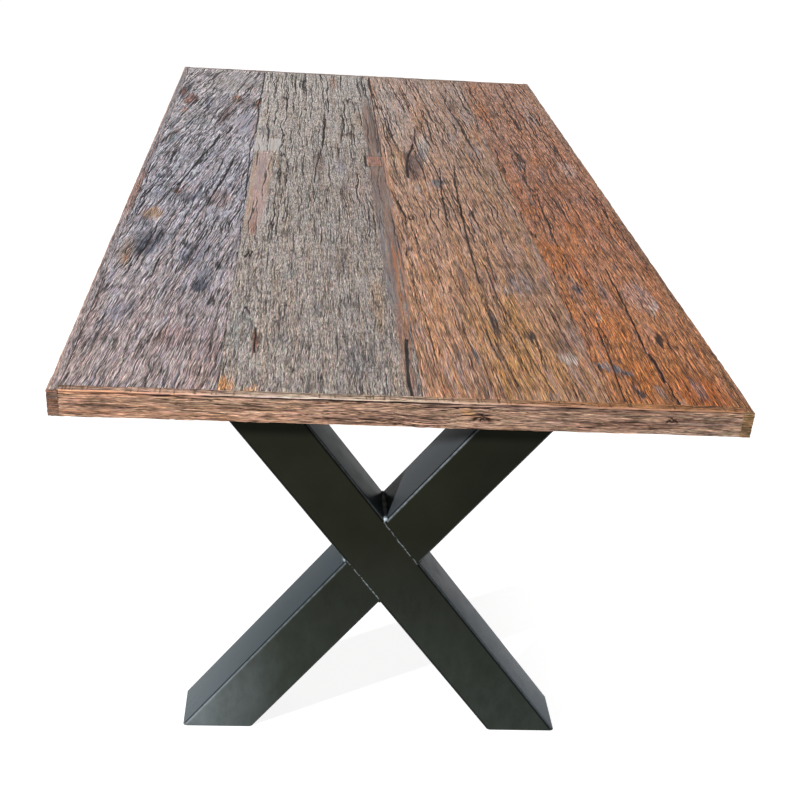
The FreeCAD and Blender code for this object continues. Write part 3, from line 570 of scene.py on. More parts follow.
            (3.2, 2.0, 0.9, [(543, 923), (548, 868), (554, 816), (566, 806)]),
            (2.6, 1.8, 0.8, [(655, 1180), (640, 982), (636, 827), (641, 747)]),
            (2.6, 1.8, 0.8, [(690, 1200), (677, 1060), (672, 919), (668, 800)]),
            (3.2, 1.8, 0.85, [(673, 964), (670, 883), (666, 782), (662, 641), (659, 471)]),
            (2.4, 1.5, 0.7, [(632, 951), (636, 861), (632, 760)]),
            (2.2, 1.4, 0.7, [(694, 693), (691, 562), (688, 482)]),
            (2.2, 1.4, 0.7, [(680, 562), (682, 401), (694, 281), (700, 171), (716, 42)]),
            (2.0, 1.3, 0.6, [(657, 421), (660, 321), (676, 211), (690, 91)]),
            (2.4, 1.4, 0.7, [(653, 231), (659, 151), (665, 61)]),
            (1.8, 1.2, 0.6, [(549, 348), (552, 239), (554, 130)]),
            (2.0, 1.3, 0.6, [(638, 2078), (632, 1955), (625, 1872)]),
            (2.0, 1.3, 0.6, [(668, 2102), (679, 1940), (699, 1809), (721, 1699)]),
            (2.0, 1.2, 0.6, [(747, 2010), (736, 1875), (719, 1760)]),
            (1.8, 1.2, 0.6, [(646, 1651), (647, 1508), (642, 1386)]),
            (1.8, 1.2, 0.6, [(678, 1450), (679, 1308), (680, 1197)]),
            (1.8, 1.2, 0.5, [(750, 969), (747, 887)]),
            (1.8, 1.2, 0.6, [(718, 936), (715, 785)]),
        ],
    },
    "plank_4": {
        "edges": (794, 984),
        "tones": ("#ad744b", "#a67258", "#ad8874"),
        "look": {"seed": 14.2, "sway": 0.4, "warm": "#bb7236", "warmth": 0.5, "cool": "#7d7378",
                 "chill": 0.35, "speckle": 0.85, "flecks": 0.8, "lines": 0.8, "tint": 0.5,
                 "fine": (1.3, 1.2), "grit": 2.8, "crack": "#25130d"},
        "lean": (0.0, -0.03), "light": (0.94, 1.06),
        "checks": [
            (0, 720, 8, 90, 0.85, 0.9),
            (700, 1420, 9, 150, 1.25, 1.0),
            (1380, 2084, 9, 190, 1.6, 1.0),
        ],
        "spots": [
            ("orange", 850, 210, 48, 210, 0, 0.4), ("orange", 940, 120, 42, 130, 0, 0.35),
            ("orange", 821, 628, 24, 85, 0, 0.75), ("deepOrange", 851, 548, 8, 75, 0, 0.8),
            ("orange", 857, 295, 34, 60, 0, 0.55), ("deepOrange", 937, 58, 42, 60, 0, 0.7),
            ("orange", 864, 113, 30, 60, 0, 0.6), ("amber", 780, 62, 20, 50, 0, 0.4),
            ("darkBrown", 894, 154, 5, 60, 0, 0.5), ("ink", 923, 245, 6, 26, 0, 0.85),
            ("slate", 818, 137, 15, 16, -20, 0.95), ("slate", 839, 125, 12, 10, -20, 0.85),
            ("slate", 801, 143, 9, 7, 0, 0.85), ("navy", 842, 62, 8, 14, 0, 0.8),
            ("slate", 876, 50, 6, 26, 0, 0.6), ("slate", 937, 73, 8, 34, 0, 0.45),
            ("slate", 792, 283, 8, 60, 0, 0.55), ("navy", 830, 456, 8, 16, 0, 0.8),
            ("plum", 875, 449, 6, 26, 0, 0.8), ("plum", 827, 498, 6, 14, 0, 0.7),
            ("plum", 922, 572, 6, 18, 0, 0.7), ("brown", 793, 485, 8, 40, 0, 0.6),
            ("pink", 931, 428, 26, 60, 0, 0.55), ("slate", 940, 469, 6, 40, 0, 0.4),
            ("white", 945, 378, 6, 30, 15, 0.35), ("white", 842, 345, 4, 20, 12, 0.4),
            ("darkBrown", 853, 1292, 7, 55, -4, 0.9), ("plum", 848, 1373, 7, 34, 6, 0.85),
            ("slate", 847, 1220, 7, 34, 0, 0.6), ("darkBrown", 838, 1107, 5, 30, 0, 0.8),
            ("plum", 806, 1331, 7, 24, 0, 0.85), ("darkBrown", 800, 1180, 7, 16, 0, 0.8),
            ("brown", 835, 1234, 6, 14, 0, 0.7), ("ink", 850, 1037, 8, 10, 0, 0.9),
            ("slate", 828, 948, 7, 24, 0, 0.8), ("ink", 795, 740, 9, 14, 0, 0.85),
            ("plum", 921, 1310, 22, 14, 0, 0.55), ("slate", 884, 1141, 4, 70, 4, 0.5),
            ("orange", 888, 1274, 14, 40, 0, 0.5), ("orange", 892, 1049, 36, 50, 0, 0.35),
            ("brown", 895, 1060, 32, 150, 0, 0.3),
            ("orange", 817, 912, 18, 80, 0, 0.4), ("deepOrange", 906, 794, 40, 70, 0, 0.35),
            ("orange", 879, 701, 40, 60, 0, 0.35), ("slate", 937, 755, 6, 34, 0, 0.5),
            ("plum", 808, 810, 6, 40, 0, 0.5), ("orange", 823, 1710, 14, 120, 0, 0.55),
            ("rust", 918, 1689, 7, 60, 0, 0.6), ("orange", 967, 2105, 16, 26, 0, 0.7),
            ("red", 937, 1950, 12, 26, 0, 0.4), ("brown", 856, 1817, 40, 20, 0, 0.4),
            ("paleGrey", 940, 1681, 16, 60, 0, 0.35), ("slate", 915, 1906, 6, 26, 0, 0.6),
            ("white", 926, 1916, 3, 14, 0, 0.5), ("darkBrown", 878, 1644, 6, 14, 0, 0.8),
            ("amber", 988, 2040, 4, 90, 0, 0.6), ("darkBrown", 998, 2020, 4, 90, 0, 0.7),
            ("plum", 934, 1608, 4, 90, 0, 0.4), ("rust", 979, 532, 5, 120, 0, 0.35),
            ("ink", 813, 1941, 5, 50, 0, 0.6), ("greenGrey", 803, 1840, 5, 14, 0, 0.7),
            ("paleGrey", 952, 1207, 20, 60, 0, 0.3), ("plum", 873, 1932, 30, 60, 0, 0.2),
        ],
        "smooth": [],
        "cracks": [
            (2.8, 2.2, 0.9, [(903, 570), (901, 478), (899, 407), (895, 305), (888, 194)]),
            (3.4, 2.4, 0.9, [(892, 194), (894, 123), (891, 93)]),
            (2.0, 1.3, 0.6, [(908, 458), (903, 387)]),
            (3.0, 2.0, 0.9, [(915, 2139), (913, 2031), (911, 1855), (909, 1742)]),
            (2.2, 1.5, 0.7, [(909, 1742), (902, 1603), (891, 1480)]),
            (2.6, 1.6, 0.8, [(957, 1424), (955, 1290), (951, 1156)]),
            (2.6, 1.6, 0.8, [(830, 294), (826, 203), (820, 102), (815, 22)]),
            (2.2, 1.5, 0.7, [(799, 404), (793, 263), (789, 162)]),
            (2.6, 1.6, 0.75, [(850, 1015), (844, 954), (840, 872), (842, 791)]),
            (3.0, 1.8, 0.8, [(844, 1404), (855, 1313), (859, 1241)]),
            (2.4, 1.5, 0.7, [(859, 1241), (842, 1148), (838, 1076)]),
            (1.8, 1.2, 0.6, [(986, 1894), (981, 1748), (978, 1602)]),
            (1.8, 1.2, 0.6, [(847, 629), (852, 487), (857, 386)]),
            (1.8, 1.2, 0.6, [(872, 487), (876, 406)]),
            (2.0, 1.4, 0.8, [(896, 93), (893, 5)]),
        ],
    },
}


def away(x, y, points):
    # distance to a line through the points
    least = np.full(x.shape, 1e9)
    for (x1, y1), (x2, y2) in zip(points, points[1:]):
        along = ((x - x1) * (x2 - x1) + (y - y1) * (y2 - y1)) / ((x2 - x1) ** 2 + (y2 - y1) ** 2)
        along = np.clip(along, 0, 1)
        least = np.minimum(least, np.hypot(x - x1 - along * (x2 - x1), y - y1 - along * (y2 - y1)))
    return least


def spotShare(x, y, spot, edge=0.3):
    # 1 inside a spot, 0 outside
    kind, middle, far, wide, long, tilt, strength = spot
    turn = math.tan(math.radians(tilt))
    reach = np.hypot((x - middle - turn * (y - far)) / wide, (y - far) / long)
    return strength * np.clip((1 + edge - reach) / (2 * edge), 0, 1)


def fibreLines(across, along, width, seed):
    # narrow grooves where two noises cross, 1 in the middle of a groove
    level = 0.6 * softNoise(across, along, seed) + 0.4 * softNoise(2.1 * across, 2.1 * along, seed + 1)
    return np.clip(1 - np.abs(level - 0.5) / width, 0, 1)


def drawChecks(board, columns, rows, seed):
    # fine cracks along the grain, and a painted highlight along one edge of each one
    chance = np.random.default_rng(seed)
    dark = np.zeros((len(rows), len(columns)))
    paintedLitEdge = np.zeros_like(dark)
    pitch = columns[1] - columns[0]
    left, right = board["edges"]
    for start, end, spacing, length, wideness, shadow in board["checks"]:
        for _ in range(round((right - left) / spacing * (end - start) / length)):
            long = length * chance.uniform(0.35, 1.9)
            first = chance.uniform(start, end) - long / 2
            middle = chance.uniform(left, right)
            strength = chance.uniform(0.5, 1.0)
            own = chance.uniform(0, 200)
            side = chance.choice((-1, 1))
            picked = np.nonzero((rows > first) & (rows < first + long))[0]
            y = rows[picked]
            share = (y - first) / long
            lean = np.interp(first, rows[[0, -1]], board["lean"])
            lean *= min(1, 0.3 + min(middle - left, right - middle) / 30)
            x = middle + lean * (y - first - long / 2) + 9 * (softNoise(middle / 35, y / 75, 31) - 0.5)
            x += 4 * (softNoise(0 * y + own, y / 26, 33) - 0.5)
            half = wideness * strength * np.sqrt(np.clip(4 * share * (1 - share), 0, 1))
            half *= 0.5 + softNoise(0 * y + own, y / 16, 35)
            nearest = np.round((x - columns[0]) / pitch).astype(int)
            for offset in range(-4, 5):
                column = nearest + offset
                fits = (column >= 0) & (column < len(columns))
                row, column = picked[fits], column[fits]
                off = columns[column] - x[fits]
                cover = np.clip((half[fits] + pitch / 2 - np.abs(off)) / pitch, 0, 1)
                cover = np.minimum(cover, 2 * half[fits] / pitch)
                dark[row, column] = np.maximum(dark[row, column], shadow * (0.5 + 0.5 * strength) * cover)
                # the painted highlight, on one side of the crack, as of its lit edge
                glow = np.clip(1 - np.abs(side * off - half[fits] - 1.5) / 1.5, 0, 1) * strength
                paintedLitEdge[row, column] = np.maximum(paintedLitEdge[row, column], glow * np.minimum(half[fits], 1))
    return dark, paintedLitEdge * (1 - dark)


def addBoard(name):
    # a fine grid on top, its rim drawn down, closed below
    board = boards[name]
    low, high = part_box(name)
    gap = boardCommon["gap"] * mm
    width = high.x - low.x - 2 * gap
    length = high.y - low.y - 2 * gap
    bpy.ops.mesh.primitive_grid_add(
        x_subdivisions=round(width / (boardCommon["across"] * mm)),
        y_subdivisions=round(length / (boardCommon["along"] * mm)), size=1,
        location=((low.x + high.x) / 2, (low.y + high.y) / 2, high.z))
    piece = fresh(name + "_wood")
    piece.scale = (width, length, 1)
    settle(piece)
    closeGrid(piece, (0, 0, low.z - high.z))
    unwrap(piece)
    endEdit()

    mesh = piece.data
    spots = places(mesh)
    onTop = spots[:, 2] > high.z - 1 * mm
    x = (spots[:, 0] + halfWidth) / mm
    y = (spots[:, 1] + halfLength) / mm
    lean = board["lean"]
    shift = lean[0] * y + (lean[1] - lean[0]) * y * y / (2 * y.max())
    inward = high.z - spots[:, 2]
    writeUv(mesh, "grain", (spots[:, 0] - shift * mm + inward) * grainStretch, spots[:, 1])
    rim = np.minimum(x - board["edges"][0], board["edges"][1] - x)

    # relief: long grooves, uneven wear, worn edges, cracks and knots, all downwards
    leaning = x - shift + 6 * softNoise(x / 40, y / 130, 6)
    lines = np.maximum(fibreLines(leaning / 12, y / 260, 0.12, 20),
                       fibreLines(leaning / 26, y / 420, 0.06, 28))
    lines *= 0.3 + 0.9 * softNoise(x / 30, y / 120, 11)
    columns = np.unique(np.round(x[onTop], 2))
    rows = np.unique(np.round(y[onTop], 2))
    checks, paintedLitEdge = drawChecks(board, columns, rows, round(10 * board["look"]["seed"]))
    column = np.clip(np.searchsorted(columns, x - 0.1), 0, len(columns) - 1)
    row = np.clip(np.searchsorted(rows, y - 0.1), 0, len(rows) - 1)
    checks, paintedLitEdge = checks[row, column], paintedLitEdge[row, column]
    wear = np.clip(1 - rim / 2.2, 0, 1) * (0.3 + 1.3 * softNoise(x / 3, y / 25, 8))
    wave = boardCommon["waves"] * softNoise(x / 60, y / 220, 5)
    depth = lines * boardCommon["grooves"] + 1.6 * checks + wear + wave
    dark = np.maximum(0.2 * lines + 0.3 * np.clip(wear, 0, 1), checks)

    ragged = x + 5 * (softNoise(x / 9, y / 40, 13) - 0.5)
    frayed = y + 40 * (softNoise(x / 3.2, y / 90, 14) - 0.5)
    # tones at the near end, the middle and the far end: the paler, greyer far tones are partly the wood's own
    # colour, partly a painted sheen of grazing light
    chart = np.array([tone(code) for code in board["tones"]])
    paint = np.stack([np.interp(y, (0, 1000, 2100), chart[:, i]) for i in range(3)], 1)
    paint *= np.interp(x, board["edges"], board["light"])[:, None]
    worn = np.zeros(len(x))
    for spot in board["spots"] + board["smooth"]:
        crisp = spot[0] in ("ink", "darkBrown", "navy", "slate") and spot[3] < 16
        share = spotShare(ragged, frayed, spot, 0.14 if crisp else 0.3)
        paint += (np.array(tone(tones[spot[0]])) - paint) * share[:, None]
        if spot[0] in holes and spot[3] < 12 and spot[4] < 30:
            depth += 1.5 * share
            dark = np.maximum(dark, holes[spot[0]] * share)
    for spot in board["smooth"]:
        worn = np.maximum(worn, 0.7 * spotShare(x, y, spot, 0.25))
    for kind, left, right, near, far, strength in board.get("plates", []):
        share = np.minimum(np.minimum(x - left, right - x), np.minimum(y - near, far - y) / 3)
        share = strength * np.clip(share / 3 + 0.5, 0, 1)
        paint += (np.array(tone(tones[kind])) - paint) * share[:, None]
        worn = np.maximum(worn, share)
    for wideness, deep, shadow, points in board["cracks"]:
        near = away(x + 2.5 * (softNoise(x / 12, y / 22, 15) - 0.5), y, points)
        share = np.clip(1.2 - near / (wideness * 0.7), 0, 1) * (0.6 + 0.6 * softNoise(x / 5, y / 18, 16))
        depth += deep * np.clip(share, 0, 1)
        dark = np.maximum(dark, shadow * np.clip(1.6 * share, 0, 1))
    depth *= 1 - 0.6 * worn
    # the painted highlight beside each check lightens the paint
    paint *= 1 + 0.65 * paintedLitEdge[:, None]
    if name == "plank_2":
        # the inlay lies in a recess, with a dark joint round it
        patchLow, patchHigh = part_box("seam_patch")
        inside = np.minimum(
            np.minimum(spots[:, 0] - patchLow.x, patchHigh.x - spots[:, 0]),
            np.minimum(spots[:, 1] - patchLow.y, patchHigh.y - spots[:, 1])) / mm
        depth += 4 * (inside > 2.5)
        dark = np.maximum(dark, np.clip(1.6 - np.abs(inside + 1.5) / 2.2, 0, 1))
    spots[:, 2] -= np.where(onTop, np.clip(depth, 0, 5) * mm, 0)
    putPlaces(mesh, spots)

    paint = np.where(onTop[:, None], paint, tone(boardCommon["planed"]))
    writeColour(mesh, "paint", *paint.T)
    writeColour(mesh, "marks", np.clip(dark, 0, 1) * onTop, worn * onTop, 0 * worn)
    smooth(piece, 75)
    dress(piece, weatheredWood(name + "Wood", board["look"]), "old_boards", name)
    print(name, len(mesh.polygons), "faces")


for boardName in boards:
    addBoard(boardName)


# the four strips round the edge

# A strip's outer sides are given as directions; its grain runs along it.
strips = {
    "front_edge_strip": {"out": (0, -1), "seed": 3.4, "along": 2.0, "tones": ("#cfa286", "#d0ac94"),
                         "top": ("#b89684", "#c09a84", "#c9b09a", "#c0a68e", "#b98a66", "#b07a4c",
                         "#a8724a"),
                         # worn arris tones; the near-white ones are partly a painted highlight along the
                         # arris
                         "arris": ("#eeb088", "#f0b286", "#fbeedd", "#f3dcc4", "#dcae94",
                         "#d09a7c", "#c0906c"),
                         "knots": [(591, 19, 15, 10), (865, 24, 10, 7)], "endTone": "#a08470"},
    "rear_edge_strip": {"out": (0, 1), "seed": 7.9, "along": 4.4, "tones": ("#a88e80", "#a38272"),
                        "top": ("#b0a6a6", "#b8aca4", "#a58672"), "arris": ("#b59f92",) * 2,
                        "endTone": "#a08470"},
    "left_edge_strip": {"out": (-1, 0), "seed": 11.2, "along": 4.4, "tones": ("#b09486", "#a8989a"),
                        "top": ("#b3a3a1", "#a3a1aa", "#aba5a8"), "arris": ("#cfa48e",) * 2,
                        "endTone": "#76543f"},
    "right_edge_strip": {"out": (1, 0), "seed": 15.6, "along": 4.4, "tones": ("#a87e60", "#9c8072"),
                         "top": ("#b07a54", "#a87c62", "#ac8a78"), "arris": ("#80604c",) * 2,
                         "endTone": "#b3946c"},
}
stripCommon = {
    "across": 1.1, "stretches": 6,  # the size of a face, and cuts before it
    "round": 2.6,  # radius of the worn outer arris
    "relief": 1.2, "nicks": 1.8,
    "checks": ((2.4, 40, 0.5, 0.8), (7, 100, 0.7, 0.9)),
    "joint": 38.4,  # height of the fine dark line near the upper arris of the front strip
    # how clearly the dark line shows along the strip, and the pale band above it
    "shown": ((0, 90, 200, 290, 440, 520, 968), (0.4, 0.7, 0.6, 1, 1, 0.7, 0.6)),
    "band": ((60, 110, 300, 360), (0, 0.7, 0.7, 0)), "bandTone": "#c2b4c0",
    "look": {"sway": 0.3, "warm": "#b5713f", "warmth": 0.35, "cool": "#84726f", "chill": 0.3,
             "speckle": 0.95, "flecks": 0.35, "lines": 0.8, "tint": 0.45,
             "fine": (2.6, 1.2), "grit": 4.0, "crack": "#2a1812"},
}

# Tone, place along the strip, height above the underside, half length, half height, strength.
stripSpots = {
    "front_edge_strip": [
        ("brown", 591, 19, 15, 8, 0.6), ("amber", 571, 27, 10, 5, 0.5),
        ("darkBrown", 540, 22, 22, 5, 0.4), ("rust", 91, 38, 90, 3, 0.4),
        ("pink", 687, 36, 240, 3, 0.4),
        ("red", 790, 14, 90, 8, 0.3), ("plum", 900, 20, 60, 7, 0.4), ("brown", 57, 14, 40, 12, 0.4),
        ("tan", 239, 26, 130, 7, 0.4), ("plum", 415, 12, 90, 5, 0.45),
    ],
    "left_edge_strip": [("darkBrown", 0, 22, 9, 15, 0.5), ("paleGrey", 0, 29, 5, 3, 0.6),
                        ("brown", 30, 20, 40, 22, 0.3), ("orange", 900, 40, 160, 4, 0.4)],
    "right_edge_strip": [("amber", 12, 26, 22, 9, 0.5), ("darkBrown", 700, 40, 200, 3, 0.4)],
    "rear_edge_strip": [("darkBrown", 420, 20, 24, 8, 0.6), ("tan", 700, 24, 160, 9, 0.4)],
}


def addStrip(name):
    # a fine section drawn along the strip, worn on its outer sides
    strip = strips[name]
    low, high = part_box(name)
    alongX = strip["out"][0] == 0
    thick = (high.y - low.y) if alongX else (high.x - low.x)
    tall = high.z - low.z
    length = (high.x - low.x) if alongX else (high.y - low.y)
    bpy.ops.mesh.primitive_grid_add(
        x_subdivisions=round(thick / (stripCommon["across"] * mm)),
        y_subdivisions=round(tall / (stripCommon["across"] * mm)), size=1)
    piece = fresh(name + "_wood")
    piece.scale = (thick, tall, 1)
    piece.rotation_euler = (math.radians(90), 0, math.radians(90) if alongX else 0)
    piece.location = (low + high) / 2
    if alongX:
        piece.location.x = low.x
    else:
        piece.location.y = low.y
    settle(piece)
    startEdit(piece, "FACE")
    bpy.ops.mesh.select_all(action="SELECT")
    steps = stripCommon["stretches"]
    bpy.ops.mesh.extrude_repeat(steps=steps, scale_offset=1, offset=(
        length / steps if alongX else 0, 0 if alongX else length / steps, 0))
    bpy.ops.mesh.select_mode(type="EDGE")
    bpy.ops.mesh.select_all(action="DESELECT")
    corners = piece.data.vertices
    pick(piece, "EDGE", lambda edge: (corners[edge.vertices[0]].co
                                      - corners[edge.vertices[1]].co).length > 0.5 * length / steps)
    bpy.ops.mesh.subdivide(number_cuts=round(length / steps / (strip["along"] * mm)) - 1)
    faceOutwards()
    unwrap(piece)
    endEdit()

    mesh = piece.data
    spots = places(mesh)
    outX, outY = strip["out"]
    out = spots[:, 0] * outX + spots[:, 1] * outY  # distance towards the outer side
    run = spots[:, 0] if alongX else spots[:, 1]
    rise = spots[:, 2].copy()
    for place, level, long, tallness in strip.get("knots", []):
        # the grain flows round a knot
        near = ((run - run.min()) / mm - place) / (2.2 * long)
        off = (spots[:, 2] - low.z) / mm - level
        rise -= 0.6 * off * mm * np.exp(-near ** 2 - (off / (1.5 * tallness)) ** 2)
    writeUv(mesh, "grain", (rise - out) * grainStretch, run)
    endGrain = mesh.uv_layers["grain"].data
    for face in mesh.polygons:
        if abs(face.normal.x if alongX else face.normal.y) > 0.9:
            for loop, corner in zip(face.loop_indices, face.vertices):
                endGrain[loop].uv = (spots[corner, 2] * grainStretch, out[corner] + run[corner])
    outer = out.max()
    beyond = (outer - out) / mm  # depth below the outer side, and below the top
    below = (high.z - spots[:, 2]) / mm
    above = (spots[:, 2] - low.z) / mm
    along = (run - run.min()) / mm
    atEnd = np.minimum(along, length / mm - along)
    onOuter = beyond < 0.1
    onTop = below < 0.1
    onBottom = above < 0.1
    seed = strip["seed"]

    around = below - beyond
    lines = np.maximum(fibreLines(around / 3.4 + along / 260, along / 70, 0.16, seed),
                       fibreLines(around / 6.5 - along / 420, along / 150, 0.1, seed + 3))
    lines *= 0.3 + 0.9 * softNoise(around / 12, along / 60, seed + 5)
    nick = np.clip(2.4 * softNoise(along / 9, 0 * along, seed + 6) - 1.35, 0, 1)
    nick = np.maximum(nick, np.clip(2.4 * softNoise(along / 31, 0 * along, seed + 8) - 1.3, 0, 1))
    arris = np.exp(-(np.maximum(below, beyond) / 3.5) ** 2)
    arris = np.maximum(arris, 0.6 * np.exp(-(np.maximum(above, beyond) / 3) ** 2))
    depth = stripCommon["relief"] * (lines + 0.5 * softNoise(around / 14, along / 90, seed + 9))
    depth += stripCommon["nicks"] * nick * arris
    depth = np.clip(depth, 0, 3) * mm

    def spread(codes):
        # tones spaced evenly along the strip
        chart = np.array([tone(code) for code in codes])
        steps = np.linspace(0, length / mm, len(codes))
        return np.stack([np.interp(along, steps, chart[:, i]) for i in range(3)], 1)

    paint = spread(strip["tones"])
    paint += (spread(strip["top"]) - paint) * np.clip(1 - below / 0.8, 0, 1)[:, None]
    # the worn outer arris in its own tones; on the front strip these are partly a painted highlight
    worn = np.exp(-(np.maximum(below, beyond) / 3.2) ** 2)
    worn *= np.clip(2.4 * softNoise(along / 30, around / 5, seed + 4) + 0.4, 0, 1)
    paint += (spread(strip["arris"]) - paint) * worn[:, None]
    for kind, middle, level, long, wide, strength in stripSpots[name]:
        reach = np.hypot((along - middle) / long, (above - level) / wide)
        reach += 0.5 * (softNoise(along / 7, around / 3, seed + 7) - 0.5)
        share = strength * np.clip((1.35 - reach) / 0.7, 0, 1)
        paint += (np.array(tone(tones[kind])) - paint) * share[:, None]
    endShare = np.clip(1 - atEnd / 1.5, 0, 1)
    paint += (np.array(tone(strip["endTone"])) - paint) * 0.6 * endShare[:, None]
    levels = np.arange(-thick / mm, tall / mm + 1, stripCommon["across"])
    stations = np.arange(0, length / mm + 1, strip["along"])
    marked = {"edges": (levels[0], levels[-1]), "lean": (0.0, 0.0),
              "checks": [(0, length / mm) + check for check in stripCommon["checks"]]}
    checks, paintedLitEdge = drawChecks(marked, levels, stations, round(10 * seed))
    column = np.clip(np.round((around - levels[0]) / stripCommon["across"]).astype(int), 0, len(levels) - 1)
    row = np.clip(np.round(along / strip["along"]).astype(int), 0, len(stations) - 1)
    # the painted highlight beside each check lightens the paint
    paint *= 1 + 0.65 * paintedLitEdge[row, column][:, None]
    dark = np.maximum(0.2 * lines + 0.4 * nick * arris, checks[row, column])
    dark = np.where(atEnd < 0.1, 0.5 * softNoise(above / 1.3, beyond / 9, seed), dark)
    dark *= 1 - 0.7 * worn
    for place, level, long, tallness in strip.get("knots", []):
        aside, up = (along - place) / long, (above - level) / tallness
        reach = np.maximum(np.hypot(aside, up), 0.05)
        rays = softNoise(3 * aside / reach + 9, 3 * up / reach + 9 + 2 * reach, seed)
        dark = np.maximum(dark, np.clip(1.5 - reach, 0, 1) * np.clip(3 * rays - 1.0, 0, 1) * onOuter)
    if name == "front_edge_strip":
        # a fine dark line just under the upper arris
        level = stripCommon["joint"] + 1.2 * (softNoise(along / 60, 0 * along, 3) - 0.5)
        shown = np.interp(along, *stripCommon["shown"])
        shown *= 0.5 + softNoise(along / 14, 0 * along, 5)
        dark = np.maximum(dark, np.clip(1.5 - np.abs(above - level) / 1.2, 0, 1) * shown * onOuter)
        band = np.clip(above - level - 0.6, 0, 1) * np.interp(along, *stripCommon["band"]) * onOuter
        paint += (np.array(tone(stripCommon["bandTone"])) - paint) * (band * (1 - 0.6 * worn))[:, None]
        # cracks of the boards run on over the strip's top
        across = np.clip(1 - np.abs(softNoise(along / 3, beyond / 30, 7) - 0.5) / 0.14, 0, 1)
        across *= np.clip(3 * softNoise(along / 30, 0 * along, 8) - 0.5, 0.2, 0.65)
        dark = np.maximum(dark, across * onTop * (beyond > 1.5))

    # the worn outer arris first, then the relief on each outer side, always inwards
    radius = stripCommon["round"]
    inArc = (below < radius) & (beyond < radius)
    reach = np.maximum(np.hypot(radius - below, radius - beyond), 1e-6)
    share = np.where(inArc, radius / reach, 1)
    newBelow = np.where(inArc, radius - (radius - below) * share, below)
    newBeyond = np.where(inArc, radius - (radius - beyond) * share, beyond)
    newBelow = np.where(inArc & (reach < radius), below, newBelow)
    newBeyond = np.where(inArc & (reach < radius), beyond, newBeyond)
    shifted = (newBeyond - beyond) * mm + np.where(onOuter, depth, 0)
    spots[:, 0] -= outX * shifted
    spots[:, 1] -= outY * shifted
    spots[:, 2] -= (newBelow - below) * mm + np.where(onTop, depth, 0)
    spots[:, 2] += np.where(onBottom, 0.5 * depth, 0)
    ending = np.clip(1 - atEnd / 0.1, 0, 1) * 0.6 * mm * softNoise(beyond / 2, above / 2, seed)
    if not alongX:
        spots[:, 1] += np.where(along < length / mm / 2, ending, -ending)
    putPlaces(mesh, spots)

    writeColour(mesh, "paint", *paint.T)
    writeColour(mesh, "marks", np.clip(dark, 0, 1), 0.8 * worn, 0 * dark)
    smooth(piece, 60)
    look = dict(stripCommon["look"], seed=seed)
    dress(piece, weatheredWood(name + "Wood", look), "edge_strips", name)
    print(name, len(mesh.polygons), "faces")


for stripName in strips:
    addStrip(stripName)


# the inlay beside the second joint
patch = {"rim": 0.5, "gap": 0.9, "sunk": 0.1, "faces": (26, 46), "tones": ("#a87f6d", "#855a4b"),
         "look": {"seed": 21.5, "sway": 0.4, "warm": "#9c5a3c", "warmth": 0.2, "cool": "#7d6a6a",
                  "chill": 0.3, "speckle": 0.35, "flecks": 0.3, "lines": 0.6, "tint": 0.5,
                  "fine": (1, 1), "grit": 5.0, "crack": "#241610"}}


def addPatch():
    low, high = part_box("seam_patch")
    gap = patch["gap"] * mm
    width = high.x - low.x - 2 * gap
    length = high.y - low.y - 2 * gap
    top = high.z - patch["sunk"] * mm
    bpy.ops.mesh.primitive_grid_add(
        x_subdivisions=patch["faces"][0], y_subdivisions=patch["faces"][1], size=1,
        location=((low.x + high.x) / 2, (low.y + high.y) / 2, top))
    piece = fresh("seam_patch_wood")
    piece.scale = (width, length, 1)
    settle(piece)
    closeGrid(piece, (0, 0, low.z - top))
    unwrap(piece, 0.01)
    endEdit()
    mesh = piece.data
    spots = places(mesh)
    onTop = spots[:, 2] > top - 0.5 * mm
    x = (spots[:, 0] - low.x) / mm
    y = (spots[:, 1] - low.y) / mm
    rim = np.minimum(np.minimum(x, (high.x - low.x) / mm - x), np.minimum(y, (high.y - low.y) / mm - y))
    depth = patch["rim"] * np.clip(1 - rim / 2.5, 0, 1) + 0.3 * softNoise(x / 3, y / 20, 2)
    depth += 0.3 * fibreLines(x / 5, y / 60, 0.15, 4)
    writeUv(mesh, "grain", spots[:, 0] * grainStretch, spots[:, 1])
    spots[:, 2] -= np.where(onTop, depth * mm, 0)
    putPlaces(mesh, spots)
    chart = np.array([tone(code) for code in patch["tones"]])
    share = softNoise(x / 12, y / 30, 6)[:, None]
    paint = chart[0] * share + chart[1] * (1 - share)
    edge = np.clip(1 - np.abs(rim - 3) / 2, 0, 1) * 0.5
    paint += (np.array(tone("#e0b9a2")) - paint) * edge[:, None]
    writeColour(mesh, "paint", *paint.T)
    writeColour(mesh, "marks", np.clip(1 - rim / 1.5, 0, 1), 0 * x, 0 * x)
    smooth(piece, 60)
    dress(piece, weatheredWood("SeamPatchWood", patch["look"]), "old_boards", "seam_patch")


addPatch()
print("strips and inlay ready")


# the steel frames
steel = {
    "lean": 52.714,  # degrees from the floor
    "side": 100, "wall": 3, "corner": 6, "crossing": 364, "centre": 805,
    "foot": 4, "head": 723,  # where the tubes are sawn
    "half": 1300,  # a tube before it is sawn
    "arrisHighlight": 0.3,  # how strong the painted highlight along the arrises is
}


